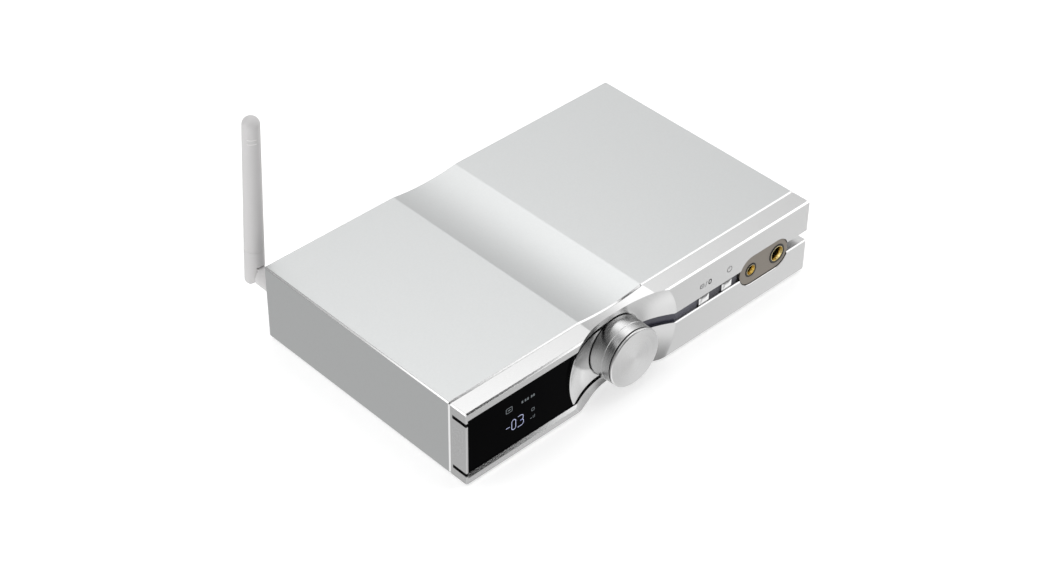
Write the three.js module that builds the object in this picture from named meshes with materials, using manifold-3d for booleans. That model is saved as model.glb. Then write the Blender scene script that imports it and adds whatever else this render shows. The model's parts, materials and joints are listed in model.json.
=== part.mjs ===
// Desktop headphone amplifier: a hollow aluminium sleeve with a milled fascia, a large volume knob
// in a dished recess, a glass display, two push buttons, two headphone jacks, rear sockets and a
// folding antenna.
// Millimetres, +Z up, +X to the right seen from the front, +Y towards the back.
// The parts are drawn in the casing's own frame, whose origin is the casing's front left bottom corner.
import * as THREE from "three";
import { mergeVertices } from "three/addons/utils/BufferGeometryUtils.js";
import Module from "manifold-3d";

const wasm = await Module();
wasm.setup();

// ---------------------------------------------------------------- driving dimensions
const CASE_W = 214;
const CASE_D = 132.5;
const CASE_H = 40.2;
const MID_Z = CASE_H / 2;
const FASCIA_D = 9.9; // front to back of the milled fascia
const FASCIA_WALL = 1.5; // what is left behind its slits, slot and knob pocket
const FASCIA_FLOOR = FASCIA_D - FASCIA_WALL;
const SLEEVE_Y = 10.3; // front edge of the sleeve, after the shadow gap
const EDGE = 0.7; // chamfer along the casing's long edges
const BEVEL = { y: 0.9, z: 0.6 }; // chamfer along the fascia's top and bottom front edges
const FIT = 0.1; // clearance between a part and its seat
const GAP = 0.3; // clearance round parts that are cut or that move
const FAR = 5; // how far a cutter runs past the surface it cuts
const FOOT_H = 1.2;

// The shallow valley that runs front to back over the top, and mirrored underneath.
const VALLEY_X = 94.4;
const VALLEY_HALF = 19.5;
const VALLEY_DEEP = 1.6;
const VALLEY_R = (VALLEY_HALF ** 2 + VALLEY_DEEP ** 2) / (2 * VALLEY_DEEP);
const VALLEY_STEPS = 14;

// The dish and the knob in it.
const KNOB_X = 93.5;
const DISH_R = 33.2;
const DISH_DEEP = 6.5;
const DISH_POWER = 1.6; // how quickly the dish flattens towards the knob
const POCKET_R = 15.6;
const KNOB_R = 15;
const KNOB_FRONT = -6.6;
const KNOB_BACK = 7.7;
const CAP_T = 1.1;
const SHAFT_R = 3;
const SHAFT_FRONT = -1.9;
const KNOB_SIDES = 48;

// Display window, slits and slot.
const GLASS_Y = 1.45;
const GLASS_T = 1.8;
const END_BLOCK = 1.4; // width of the solid end left of the window
const SLIT_Z = 14.1; // slit centres above and below the middle
const SLIT_H = 1.9;
const SLOT_H = 5.3;
const STRIP_Y = 1.5; // how deep the dark strips sit in the slot

// Buttons.
const BUTTON_W = 6.4;
const BUTTON_H = 4.9;
const BUTTON_CORNER = 1.1;
const BUTTON_Y = 0.5;
const BUTTON_XS = { input: 145, power: 160 };
const STEM_W = 3;
const STEM_H = 2.4;

// Jack plate and jacks.
const PILL_X = 184.7;
const PILL_W = 32.4;
const PILL_H = 15.4;
const PILL_Y = 0.35;
const PILL_T = 2;
const JACKS = {
  jack_4mm: { x: 176, ring: 3.5, mouth: 2.6, bore: 2.25, body: 5, length: 21 },
  jack_6mm: { x: 193.8, ring: 4.9, mouth: 3.75, bore: 3.3, body: 6, length: 28 },
};

// Inside.
const WALL_SIDE = 2;
const WALL_TOP = 3.4;
const BOSS = 6.2;
const PANEL_Y = 129.4;
const PANEL_T = 1.6;
const BOARD_T = 1.6;
const FRONT_BOARD_Y = 19.2;
const MAIN_BOARD_Z = 12.2;
const MAIN_BOARD_Y = 23;

// Rear sockets, by the X of their centres.
const SOCKETS = { dc_inlet: 24, usb_socket: 44, coax_socket: 72, rca_left: 94, rca_right: 113 };
const XLRS = { xlr_left: 146, xlr_right: 180 };

// Antenna.
const ANT = { x: 5.6, y: 148, z: 25.6, lean: 3.3 };
const ANT_LENGTH = 83;
const KNUCKLE_R = 4.7;
const KNUCKLE_TOP = 13;
const FORK_SLOT = 3.8;
const FORK_TOP = 5;
const TONGUE_R = 4;
const BARREL_R = 4.2;
const WHIP_R = 4.65;
const WHIP_TIP_R = 4.1;

// ---------------------------------------------------------------- materials
function finish(color, roughness, metalness) {
  return new THREE.MeshStandardMaterial({ color, roughness, metalness });
}

const SILVER = finish(0xd2d4d4, 0.45, 1);
const SATIN = finish(0xdcdddd, 0.32, 1);
const SPUN = finish(0xc8c8c8, 0.22, 1);
const GLASS = finish(0x050506, 0.05, 0);
const SMOKED = finish(0x2c2c3a, 0.3, 0);
const BRONZE = finish(0x7e776d, 0.4, 1);
const GOLD = finish(0xd8c070, 0.22, 1);
const BLACK_PLASTIC = finish(0x151515, 0.5, 0);
const ANTENNA_PLASTIC = finish(0xd8d5d6, 0.45, 0);
const BOARD = finish(0x1d4a30, 0.5, 0);
const CHIP = finish(0x1a1a1c, 0.5, 0);
const TIN = finish(0xb8babb, 0.35, 1);
const CAN_SLEEVE = finish(0x223a5a, 0.4, 0);
const CABLE = finish(0xc9c9c4, 0.6, 0);
const RUBBER = finish(0x202020, 0.9, 0);
const STEEL = finish(0x8d9092, 0.35, 1);
const PANEL_GREY = finish(0xb4b6b8, 0.45, 1);

// ---------------------------------------------------------------- helpers
function toSolid(geometry) {
  const bare = geometry.clone();
  bare.deleteAttribute("normal");
  bare.deleteAttribute("uv");
  const merged = mergeVertices(bare, 1e-4);
  const vertProperties = new Float32Array(merged.attributes.position.array);
  const triVerts = new Uint32Array(merged.index.array);
  return new wasm.Manifold(new wasm.Mesh({ numProp: 3, vertProperties, triVerts }));
}

function toGeometry(solid) {
  const mesh = solid.getMesh();
  const geometry = new THREE.BufferGeometry();
  geometry.setAttribute("position", new THREE.BufferAttribute(new Float32Array(mesh.vertProperties), 3));
  geometry.setIndex(new THREE.BufferAttribute(new Uint32Array(mesh.triVerts), 1));
  geometry.computeVertexNormals();
  return geometry;
}

function cut(geometry, ...cutters) {
  return toGeometry(cutters.reduce((rest, tool) => rest.subtract(toSolid(tool)), toSolid(geometry)));
}

function join(geometry, ...others) {
  return toGeometry(others.reduce((sum, other) => sum.add(toSolid(other)), toSolid(geometry)));
}

function common(geometry, other) {
  return toGeometry(toSolid(geometry).intersect(toSolid(other)));
}

// A box between two corners.
function box([x0, y0, z0], [x1, y1, z1]) {
  const geometry = new THREE.BoxGeometry(x1 - x0, y1 - y0, z1 - z0);
  return geometry.translate((x0 + x1) / 2, (y0 + y1) / 2, (z0 + z1) / 2);
}

// A cylinder along Y between y0 and y1, centred on x, z.
function rodY(x, z, radius, y0, y1, sides = 20) {
  return new THREE.CylinderGeometry(radius, radius, y1 - y0, sides).translate(x, (y0 + y1) / 2, z);
}

// A cylinder along Z between z0 and z1, centred on x, y.
function rodZ(x, y, radius, z0, z1, sides = 20) {
  const geometry = new THREE.CylinderGeometry(radius, radius, z1 - z0, sides);
  return geometry.rotateX(Math.PI / 2).translate(x, y, (z0 + z1) / 2);
}

// A turned part about the Y axis through x, z: the profile is [radius, y] pairs from front to back.
function turned(x, z, profile, sides = 20) {
  const points = profile.map(([radius, y]) => new THREE.Vector2(radius, y));
  return new THREE.LatheGeometry(points, sides).translate(x, 0, z);
}

// An outline in X and Z, pushed along Y from y0 to y1.
function plate(shape, y0, y1) {
  const settings = { depth: y1 - y0, bevelEnabled: false, curveSegments: 10 };
  const geometry = new THREE.ExtrudeGeometry(shape, settings);
  return geometry.rotateX(Math.PI / 2).translate(0, y1, 0);
}

function outline(points) {
  return new THREE.Shape(points.map(([x, z]) => new THREE.Vector2(x, z)));
}

// A stadium with full round ends, centred on x, z.
function pill(x, z, width, height) {
  const shape = new THREE.Shape();
  const reach = (width - height) / 2;
  shape.absarc(x + reach, z, height / 2, -Math.PI / 2, Math.PI / 2, false);
  shape.absarc(x - reach, z, height / 2, Math.PI / 2, (3 * Math.PI) / 2, false);
  return shape;
}

// A rectangle with rounded corners, centred on x, z.
function roundedRectangle(x, z, width, height, radius) {
  const shape = new THREE.Shape();
  const corners = [
    [1, 1, 0],
    [-1, 1, 1],
    [-1, -1, 2],
    [1, -1, 3],
  ];
  for (const [right, up, quarter] of corners) {
    const cx = x + right * (width / 2 - radius);
    const cz = z + up * (height / 2 - radius);
    shape.absarc(cx, cz, radius, (quarter * Math.PI) / 2, ((quarter + 1) * Math.PI) / 2, false);
  }
  return shape;
}

function part(name, geometry, material) {
  const mesh = new THREE.Mesh(geometry, material);
  mesh.name = name;
  return mesh;
}

// ---------------------------------------------------------------- casing
function valley(x) {
  const off = Math.abs(x - VALLEY_X);
  if (off >= VALLEY_HALF) return 0;
  return Math.sqrt(VALLEY_R ** 2 - off ** 2) - (VALLEY_R - VALLEY_DEEP);
}

function casingOutline() {
  const xs = [];
  for (let i = 0; i <= VALLEY_STEPS; i += 1) {
    xs.push(VALLEY_X + VALLEY_HALF * ((2 * i) / VALLEY_STEPS - 1));
  }
  const under = xs.map((x) => [x, valley(x)]);
  const over = xs.map((x) => [x, CASE_H - valley(x)]).reverse();
  return outline([
    [EDGE, 0],
    ...under,
    [CASE_W - EDGE, 0],
    [CASE_W, EDGE],
    [CASE_W, CASE_H - EDGE],
    [CASE_W - EDGE, CASE_H],
    ...over,
    [EDGE, CASE_H],
    [0, CASE_H - EDGE],
    [0, EDGE],
  ]);
}

// The centres of the four screw bosses in the sleeve's corners.
function bossCentres() {
  const xs = [WALL_SIDE + BOSS / 2 + 1, CASE_W - WALL_SIDE - BOSS / 2 - 1];
  const zs = [WALL_TOP + BOSS / 2, CASE_H - WALL_TOP - BOSS / 2];
  return xs.flatMap((x) => zs.map((z) => [x, z]));
}

const SCREW = { shank: 1.25, head: 2.3, headT: 1.1, length: 9 };

function bodySleeve() {
  const shape = casingOutline();
  const left = WALL_SIDE;
  const right = CASE_W - WALL_SIDE;
  const low = WALL_TOP;
  const high = CASE_H - WALL_TOP;
  const inset = 1 + BOSS;
  shape.holes.push(
    new THREE.Path(
      [
        [left, low + BOSS],
        [left + inset, low + BOSS],
        [left + inset, low],
        [right - inset, low],
        [right - inset, low + BOSS],
        [right, low + BOSS],
        [right, high - BOSS],
        [right - inset, high - BOSS],
        [right - inset, high],
        [left + inset, high],
        [left + inset, high - BOSS],
        [left, high - BOSS],
      ].map(([x, z]) => new THREE.Vector2(x, z)),
    ),
  );
  const seat = box([left, PANEL_Y - FIT, low], [right, CASE_D + FAR, high]);
  const holes = bossCentres().map(([x, z]) =>
    rodY(x, z, SCREW.shank + FIT, PANEL_Y - SCREW.length, PANEL_Y + 1, 12),
  );
  return cut(plate(shape, SLEEVE_Y, CASE_D), seat, ...holes);
}

function rearPanel() {
  const low = WALL_TOP + FIT;
  const high = CASE_H - WALL_TOP - FIT;
  const back = PANEL_Y + PANEL_T;
  const blank = box([WALL_SIDE + FIT, PANEL_Y, low], [CASE_W - WALL_SIDE - FIT, back, high]);
  const through = (x, z, radius, sides = 24) => rodY(x, z, radius, PANEL_Y - FAR, back + FAR, sides);
  const screws = bossCentres().map(([x, z]) => through(x, z, SCREW.shank + FIT, 12));
  const rcas = [SOCKETS.coax_socket, SOCKETS.rca_left, SOCKETS.rca_right].map((x) =>
    through(x, MID_Z, RCA.neck + FIT),
  );
  const xlrs = Object.values(XLRS).map((x) => through(x, MID_Z, XLR.neck + FIT));
  return cut(
    blank,
    ...screws,
    ...rcas,
    ...xlrs,
    through(SOCKETS.dc_inlet, MID_Z, DC.neck + FIT),
    box(
      [SOCKETS.usb_socket - USB.w / 2 - FIT, PANEL_Y - FAR, MID_Z - USB.h / 2 - FIT],
      [SOCKETS.usb_socket + USB.w / 2 + FIT, back + FAR, MID_Z + USB.h / 2 + FIT],
    ),
    through(ANT.x, ANT.z, SMA.neck + FIT),
  );
}

function rearScrews(root) {
  bossCentres().forEach(([x, z], i) => {
    const face = PANEL_Y + PANEL_T + FIT;
    const profile = [
      [0, PANEL_Y - SCREW.length + 1],
      [SCREW.shank, PANEL_Y - SCREW.length + 1],
      [SCREW.shank, face],
      [SCREW.head, face],
      [SCREW.head, face + SCREW.headT],
      [0, face + SCREW.headT],
    ];
    root.add(part(`rear_screw_${i + 1}`, turned(x, z, profile, 12), STEEL));
  });
}

function feet(root) {
  const radius = 6.5;
  const inset = { x: 20, front: 24, back: 16 };
  const places = [inset.x, CASE_W - inset.x].flatMap((x) => [
    [x, inset.front],
    [x, CASE_D - inset.back],
  ]);
  places.forEach(([x, y], i) => {
    root.add(part(`foot_${i + 1}`, rodZ(x, y, radius, -FOOT_H, -FIT / 2), RUBBER));
  });
}

// ---------------------------------------------------------------- fascia
function dishY(radius) {
  const share = Math.max(0, (radius - POCKET_R) / (DISH_R - POCKET_R));
  return DISH_DEEP * (1 - share ** DISH_POWER);
}

// The solid that mills the dish and the knob's round pocket, set back by a distance.
function dishCutter(back = 0, floor = FASCIA_FLOOR) {
  const steps = 6;
  const profile = [
    [0, -FAR],
    [DISH_R, -FAR],
    [DISH_R, back],
  ];
  for (let i = 1; i <= steps; i += 1) {
    const radius = DISH_R + ((POCKET_R - DISH_R) * i) / steps;
    profile.push([radius, dishY(radius) + back]);
  }
  profile.push([POCKET_R, floor], [0, floor]);
  return turned(KNOB_X, MID_Z, profile, 64);
}

function slitBox(side, x0, x1, y0, margin) {
  const z = MID_Z + side * SLIT_Z;
  const half = SLIT_H / 2 - margin;
  return box([x0, y0, z - half], [x1, FASCIA_FLOOR - margin, z + half]);
}

function windowBox(x0, x1, y0, y1, margin) {
  const half = SLIT_Z + SLIT_H / 2 - margin;
  return box([x0, y0, MID_Z - half], [x1, y1, MID_Z + half]);
}

// The wedges that chamfer the fascia's top and bottom front edges.
function frontEdgeCutters() {
  const slope = BEVEL.z / BEVEL.y;
  const wedge = outline([
    [-FAR, -BEVEL.z - FAR * slope],
    [BEVEL.y + FAR / slope, FAR],
    [-FAR, FAR],
  ]);
  const length = CASE_W + 2 * FAR;
  const over = new THREE.ExtrudeGeometry(wedge, { depth: length, bevelEnabled: false });
  over.rotateX(Math.PI / 2).rotateZ(Math.PI / 2).translate(-FAR, 0, CASE_H);
  const under = over.clone().translate(-CASE_W / 2, 0, -CASE_H);
  under.rotateY(Math.PI).translate(CASE_W / 2, 0, 0);
  return [over, under];
}

const SCREEN = { x0: 11, x1: 54, half: 11.2, y0: GLASS_Y + GLASS_T + GAP, y1: 7 };

function fascia() {
  const rim = new THREE.Shape();
  rim.absarc(KNOB_X, MID_Z, DISH_R, 0, Math.PI * 2, false);
  const glassSeat = cut(
    windowBox(END_BLOCK, KNOB_X - DISH_R / 2, -FAR, GLASS_Y + GLASS_T + FIT, 0),
    plate(rim, -2 * FAR, FASCIA_D + FAR),
  );
  const jackHoles = Object.values(JACKS).map((jack) =>
    rodY(jack.x, MID_Z, jack.body + FIT, 0, FASCIA_D + FAR),
  );
  const stemHoles = Object.values(BUTTON_XS).map((x) =>
    box(
      [x - STEM_W / 2 - GAP, FASCIA_FLOOR - FAR, MID_Z - STEM_H / 2 - GAP],
      [x + STEM_W / 2 + GAP, FASCIA_D + FAR, MID_Z + STEM_H / 2 + GAP],
    ),
  );
  return cut(
    plate(casingOutline(), 0, FASCIA_D),
    dishCutter(),
    ...frontEdgeCutters(),
    glassSeat,
    slitBox(1, -FAR, KNOB_X, -FAR, 0),
    slitBox(-1, -FAR, KNOB_X, -FAR, 0),
    box([KNOB_X, -FAR, MID_Z - SLOT_H / 2], [CASE_W + FAR, FASCIA_FLOOR, MID_Z + SLOT_H / 2]),
    plate(pill(PILL_X, MID_Z, PILL_W + GAP, PILL_H + GAP), -FAR, PILL_Y + PILL_T + FIT),
    box(
      [SCREEN.x0 - FIT, 0, MID_Z - SCREEN.half - FIT],
      [SCREEN.x1 + FIT, FASCIA_D + FAR, MID_Z + SCREEN.half + FIT],
    ),
    rodY(KNOB_X, MID_Z, ENCODER.neck + FIT, 0, FASCIA_D + FAR),
    ...jackHoles,
    ...stemHoles,
  );
}

// The black glass fills the window up to the round edge of the dish.
function displayWindow() {
  const rim = new THREE.Shape();
  rim.absarc(KNOB_X, MID_Z, DISH_R + GAP, 0, Math.PI * 2, false);
  return cut(
    windowBox(END_BLOCK + FIT, KNOB_X - DISH_R / 2, GLASS_Y, GLASS_Y + GLASS_T, FIT),
    plate(rim, -FAR, 2 * FAR),
  );
}

function slitStrips(root) {
  const start = 1.1;
  const y0 = GLASS_Y + GLASS_T + GAP;
  const sides = { upper_slit_strip: 1, lower_slit_strip: -1 };
  for (const [name, side] of Object.entries(sides)) {
    const strip = cut(slitBox(side, start, KNOB_X - 8, y0, FIT), dishCutter(1.3, FASCIA_D + FAR));
    root.add(part(name, strip, SMOKED));
  }
}

function slotStrips(root) {
  const clear = BUTTON_W / 2 + GAP;
  const spans = {
    slot_strip_left: [KNOB_X + POCKET_R / 2, BUTTON_XS.input - clear],
    slot_strip_middle: [BUTTON_XS.input + clear, BUTTON_XS.power - clear],
    slot_strip_right: [BUTTON_XS.power + clear, PILL_X - PILL_W / 2 - GAP],
  };
  const half = SLOT_H / 2 - FIT;
  for (const [name, [x0, x1]] of Object.entries(spans)) {
    const blank = box([x0, STRIP_Y, MID_Z - half], [x1, FASCIA_FLOOR - FIT, MID_Z + half]);
    root.add(part(name, cut(blank, dishCutter(STRIP_Y, FASCIA_D + FAR)), SMOKED));
  }
}

function screenModule() {
  return box([SCREEN.x0, SCREEN.y0, MID_Z - SCREEN.half], [SCREEN.x1, SCREEN.y1, MID_Z + SCREEN.half]);
}

// ---------------------------------------------------------------- knob and encoder
const ENCODER = { neck: 4.4, neckFront: 5, bodyY: 12, half: 7, nut: 6.4, nutY: 6, plungerR: 2 };

function knobBody() {
  const hollow = { r: 11, y: 2.4 };
  const boreY = SHAFT_FRONT - FIT; // the shaft's bore is blind
  const groove = { y: KNOB_FRONT + CAP_T, w: 0.8, r: KNOB_R - 0.9 };
  const ridge = { y: -0.6, h: 0.15 };
  return turned(
    KNOB_X,
    MID_Z,
    [
      [0, groove.y + GAP],
      [groove.r, groove.y + GAP],
      [groove.r, groove.y + groove.w],
      [KNOB_R - ridge.h, groove.y + groove.w],
      [KNOB_R - ridge.h, ridge.y],
      [KNOB_R, ridge.y + 0.2],
      [KNOB_R, KNOB_BACK],
      [hollow.r, KNOB_BACK],
      [hollow.r, hollow.y],
      [SHAFT_R + FIT, hollow.y],
      [SHAFT_R + FIT, boreY],
      [0, boreY],
    ],
    KNOB_SIDES,
  );
}

function knobCap() {
  const face = KNOB_FRONT;
  const profile = [
    [0, face],
    [KNOB_R - 0.5, face],
    [KNOB_R - 0.2, face + 0.3],
    [KNOB_R - 0.2, face + CAP_T],
    [0, face + CAP_T],
  ];
  return turned(KNOB_X, MID_Z, profile, KNOB_SIDES);
}

function encoderBody() {
  const { neck, neckFront, bodyY, half } = ENCODER;
  const back = FRONT_BOARD_Y - FIT;
  const block = box([KNOB_X - half, bodyY, MID_Z - half], [KNOB_X + half, back, MID_Z + half]);
  const whole = join(block, rodY(KNOB_X, MID_Z, neck, neckFront, bodyY + 1));
  return cut(whole, rodY(KNOB_X, MID_Z, SHAFT_R + FIT, 0, back - 0.4));
}

function encoderNut() {
  const { neck, nut, nutY } = ENCODER;
  const blank = rodY(KNOB_X, MID_Z, nut, nutY, FASCIA_FLOOR - FIT, 6);
  return cut(blank, rodY(KNOB_X, MID_Z, neck + FIT, 0, FASCIA_D));
}

function knobAndEncoder(root) {
  const shaftBack = 16.9;
  const plunger = [shaftBack + FIT, shaftBack + 1.1];
  root.add(
    part("knob_body", knobBody(), SPUN),
    part("knob_cap", knobCap(), SPUN),
    part("encoder_shaft", rodY(KNOB_X, MID_Z, SHAFT_R, SHAFT_FRONT, shaftBack), STEEL),
    part("encoder_body", encoderBody(), TIN),
    part("encoder_nut", encoderNut(), STEEL),
    part("encoder_plunger", rodY(KNOB_X, MID_Z, ENCODER.plungerR, ...plunger), STEEL),
  );
}

// ---------------------------------------------------------------- buttons
function buttonCap(x) {
  const stemBack = 15.2;
  const capBack = 5;
  return join(
    plate(roundedRectangle(x, MID_Z, BUTTON_W, BUTTON_H, BUTTON_CORNER), BUTTON_Y, capBack),
    box(
      [x - STEM_W / 2, capBack - 1, MID_Z - STEM_H / 2],
      [x + STEM_W / 2, stemBack, MID_Z + STEM_H / 2],
    ),
  );
}

function buttons(root) {
  const half = 3;
  const front = 15.8;
  for (const [name, x] of Object.entries(BUTTON_XS)) {
    root.add(part(`${name}_button`, buttonCap(x), SATIN));
    const body = box([x - half, front, MID_Z - half], [x + half, FRONT_BOARD_Y - FIT, MID_Z + half]);
    root.add(part(`${name}_switch`, body, BLACK_PLASTIC));
  }
}

// ---------------------------------------------------------------- front jacks
function jackPlate() {
  const holes = Object.values(JACKS).map((jack) => rodY(jack.x, MID_Z, jack.ring + FIT, -FAR, FAR));
  return cut(plate(pill(PILL_X, MID_Z, PILL_W, PILL_H), PILL_Y, PILL_Y + PILL_T), ...holes);
}

function jackRing({ x, ring, mouth, bore }) {
  const front = 0.05;
  const back = PILL_Y + PILL_T + 1;
  const profile = [
    [mouth, front],
    [ring, front],
    [ring, back],
    [bore + 0.1, back],
    [bore + 0.1, front + 1.1],
    [mouth, front],
  ];
  return turned(x, MID_Z, profile, 24);
}

function jackBody({ x, bore, body, length }) {
  const front = PILL_Y + PILL_T + 1 + FIT;
  const end = front + length;
  const profile = [
    [0, end - 1.5],
    [bore, end - 1.5],
    [bore, front],
    [body, front],
    [body, end],
    [0, end],
  ];
  return turned(x, MID_Z, profile);
}

function frontJacks(root) {
  root.add(part("jack_plate", jackPlate(), BRONZE));
  for (const [name, jack] of Object.entries(JACKS)) {
    root.add(part(`${name}_ring`, jackRing(jack), GOLD));
    root.add(part(`${name}_body`, jackBody(jack), BLACK_PLASTIC));
  }
}

// ---------------------------------------------------------------- circuit boards
function mainBoard() {
  const edge = 8;
  const notchX = XLRS.xlr_left - XLR.flange - 2;
  const notchY = 112;
  const back = PANEL_Y - 2.4;
  const shape = outline([
    [edge, MAIN_BOARD_Y],
    [CASE_W - edge, MAIN_BOARD_Y],
    [CASE_W - edge, notchY],
    [notchX, notchY],
    [notchX, back],
    [edge, back],
  ]);
  const geometry = new THREE.ExtrudeGeometry(shape, { depth: BOARD_T, bevelEnabled: false });
  return geometry.translate(0, 0, MAIN_BOARD_Z);
}

// A flat cable that leaves the front board, curves down and lies on the main board.
function ribbonCable() {
  const thick = 0.7;
  const width = 18;
  const x = 120;
  const top = MAIN_BOARD_Z + BOARD_T + GAP;
  const front = FRONT_BOARD_Y + BOARD_T + GAP;
  const bend = 9;
  const length = 20;
  const shape = new THREE.Shape();
  shape.moveTo(front, top + bend + 4);
  shape.lineTo(front, top + bend);
  shape.absarc(front + bend, top + bend, bend, Math.PI, Math.PI * 1.5, false);
  shape.lineTo(front + length, top);
  shape.lineTo(front + length, top + thick);
  shape.lineTo(front + bend, top + thick);
  shape.absarc(front + bend, top + bend, bend - thick, Math.PI * 1.5, Math.PI, true);
  shape.lineTo(front + thick, top + bend + 4);
  const settings = { depth: width, bevelEnabled: false, curveSegments: 6 };
  const geometry = new THREE.ExtrudeGeometry(shape, settings);
  return geometry.rotateX(Math.PI / 2).rotateZ(Math.PI / 2).translate(x - width / 2, 0, 0);
}

function boardParts(root) {
  const deck = MAIN_BOARD_Z + BOARD_T + FIT;
  const chip = { x: 60, y: 74, side: 14, h: 1.4 };
  const shield = { x: 14, y: 90, w: 30, d: 22, h: 4 };
  const coil = { x: 38, y: 56, side: 12, h: 9 };
  const capacitor = { r: 5, h: 16, y: 62, x: 104, pitch: 15 };
  root.add(part("main_board", mainBoard(), BOARD));
  root.add(
    part("front_board", box([62, FRONT_BOARD_Y, 5], [166, FRONT_BOARD_Y + BOARD_T, 35]), BOARD),
    part("ribbon_cable", ribbonCable(), CABLE),
    part(
      "shield_can",
      box([shield.x, shield.y, deck], [shield.x + shield.w, shield.y + shield.d, deck + shield.h]),
      TIN,
    ),
    part(
      "processor_chip",
      box([chip.x, chip.y, deck], [chip.x + chip.side, chip.y + chip.side, deck + chip.h]),
      CHIP,
    ),
    part(
      "power_inductor",
      box([coil.x, coil.y, deck], [coil.x + coil.side, coil.y + coil.side, deck + coil.h]),
      CHIP,
    ),
  );
  for (let i = 0; i < 4; i += 1) {
    const x = capacitor.x + i * capacitor.pitch;
    const can = rodZ(x, capacitor.y, capacitor.r, deck, deck + capacitor.h, 16);
    root.add(part(`capacitor_${i + 1}`, can, CAN_SLEEVE));
  }
  const standoffs = [16, CASE_W - 12].flatMap((x) => [
    [x, 36],
    [x, 104],
  ]);
  standoffs.forEach(([x, y], i) => {
    const geometry = rodZ(x, y, 2.6, WALL_TOP + FIT, MAIN_BOARD_Z - FIT, 6);
    root.add(part(`board_standoff_${i + 1}`, geometry, STEEL));
  });
}

// ---------------------------------------------------------------- rear sockets
const DC = { neck: 4.6, bore: 3.2, pin: 1.05, half: 5.5 };
const USB = { w: 12, h: 10.9, cavityW: 8.6, cavityH: 7.9, tongueW: 5.6, tongueH: 3.2 };
const RCA = { neck: 5, half: 6, barrel: 4.15, pinHole: 1.7, reach: 8.6 };
const XLR = { flange: 11, neck: 9.9, cavity: 7.9, pin: 1.2, pinRing: 4 };
const SMA = { neck: 3.1, reach: 5.5 };

function dcInlet(x) {
  const back = PANEL_Y + PANEL_T + 0.6;
  const front = PANEL_Y - 12;
  const { neck, bore, pin, half } = DC;
  const block = box([x - half, front, MID_Z - half], [x + half, PANEL_Y - FIT, MID_Z + half]);
  const shell = join(block, rodY(x, MID_Z, neck, PANEL_Y - 2, back));
  const hollow = cut(shell, rodY(x, MID_Z, bore, front + 2, back + FAR));
  return join(hollow, rodY(x, MID_Z, pin, front + 1, back - 1.5, 12));
}

function usbSocket(x) {
  const back = PANEL_Y + PANEL_T + 0.6;
  const front = PANEL_Y - 14;
  const { w, h, cavityW, cavityH, tongueW, tongueH } = USB;
  const size = (width, height, y0, y1) =>
    box([x - width / 2, y0, MID_Z - height / 2], [x + width / 2, y1, MID_Z + height / 2]);
  const hollow = cut(size(w, h, front, back), size(cavityW, cavityH, front + 4, back + FAR));
  return join(hollow, size(tongueW, tongueH, front + 3, back - 1.2));
}

function rcaSocket(x) {
  const face = PANEL_Y + PANEL_T;
  const end = face + RCA.reach;
  const front = PANEL_Y - 12;
  const block = box([x - RCA.half, front, MID_Z - 6], [x + RCA.half, PANEL_Y - FIT, MID_Z + 6]);
  const profile = [
    [0, PANEL_Y - 2],
    [RCA.neck, PANEL_Y - 2],
    [RCA.neck, face + 1.2],
    [RCA.barrel, face + 1.2],
    [RCA.barrel, end - 0.4],
    [RCA.barrel - 0.4, end],
    [RCA.pinHole, end],
    [RCA.pinHole, PANEL_Y - 1],
    [0, PANEL_Y - 1],
  ];
  return join(block, turned(x, MID_Z, profile));
}

// A balanced output: a round shell with three contact pins inside.
function xlrSocket(x) {
  const face = PANEL_Y + PANEL_T;
  const back = face + FIT + 1.1;
  const floor = PANEL_Y - 13;
  const profile = [
    [0, floor - 2],
    [XLR.neck, floor - 2],
    [XLR.neck, face + FIT],
    [XLR.flange, face + FIT],
    [XLR.flange, back],
    [XLR.cavity, back],
    [XLR.cavity, floor],
    [0, floor],
  ];
  const pins = [30, 150, 270].map((degrees) => {
    const angle = THREE.MathUtils.degToRad(degrees);
    const px = x + XLR.pinRing * Math.cos(angle);
    const pz = MID_Z + XLR.pinRing * Math.sin(angle);
    return rodY(px, pz, XLR.pin, floor - 1, back - 2.5, 12);
  });
  return join(turned(x, MID_Z, profile, 24), ...pins);
}

function rearSockets(root) {
  root.add(
    part("dc_inlet", dcInlet(SOCKETS.dc_inlet), BLACK_PLASTIC),
    part("usb_socket", usbSocket(SOCKETS.usb_socket), TIN),
    part("coax_socket", rcaSocket(SOCKETS.coax_socket), GOLD),
    part("rca_left", rcaSocket(SOCKETS.rca_left), GOLD),
    part("rca_right", rcaSocket(SOCKETS.rca_right), GOLD),
  );
  for (const [name, x] of Object.entries(XLRS)) root.add(part(name, xlrSocket(x), BLACK_PLASTIC));
}

// ---------------------------------------------------------------- antenna
function antennaSocket() {
  const face = PANEL_Y + PANEL_T;
  return turned(ANT.x, ANT.z, [
    [0, PANEL_Y - 8],
    [SMA.neck - 0.6, PANEL_Y - 8],
    [SMA.neck - 0.6, PANEL_Y - 1],
    [SMA.neck, PANEL_Y - 1],
    [SMA.neck, face + SMA.reach],
    [0, face + SMA.reach],
  ]);
}

// The group whose origin is the folding joint and whose Z is the antenna's own length.
function antennaGroup() {
  const group = new THREE.Group();
  group.position.set(ANT.x, ANT.y, ANT.z);
  group.rotation.y = THREE.MathUtils.degToRad(ANT.lean);
  return group;
}

// A turned part about the antenna's own length: the profile is [radius, height] pairs.
function turnedUp(profile, sides = 24) {
  const points = profile.map(([radius, height]) => new THREE.Vector2(radius, height));
  return new THREE.LatheGeometry(points, sides).rotateX(Math.PI / 2);
}

function rodX(radius, reach, sides = 20) {
  return new THREE.CylinderGeometry(radius, radius, 2 * reach, sides).rotateZ(Math.PI / 2);
}

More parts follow.
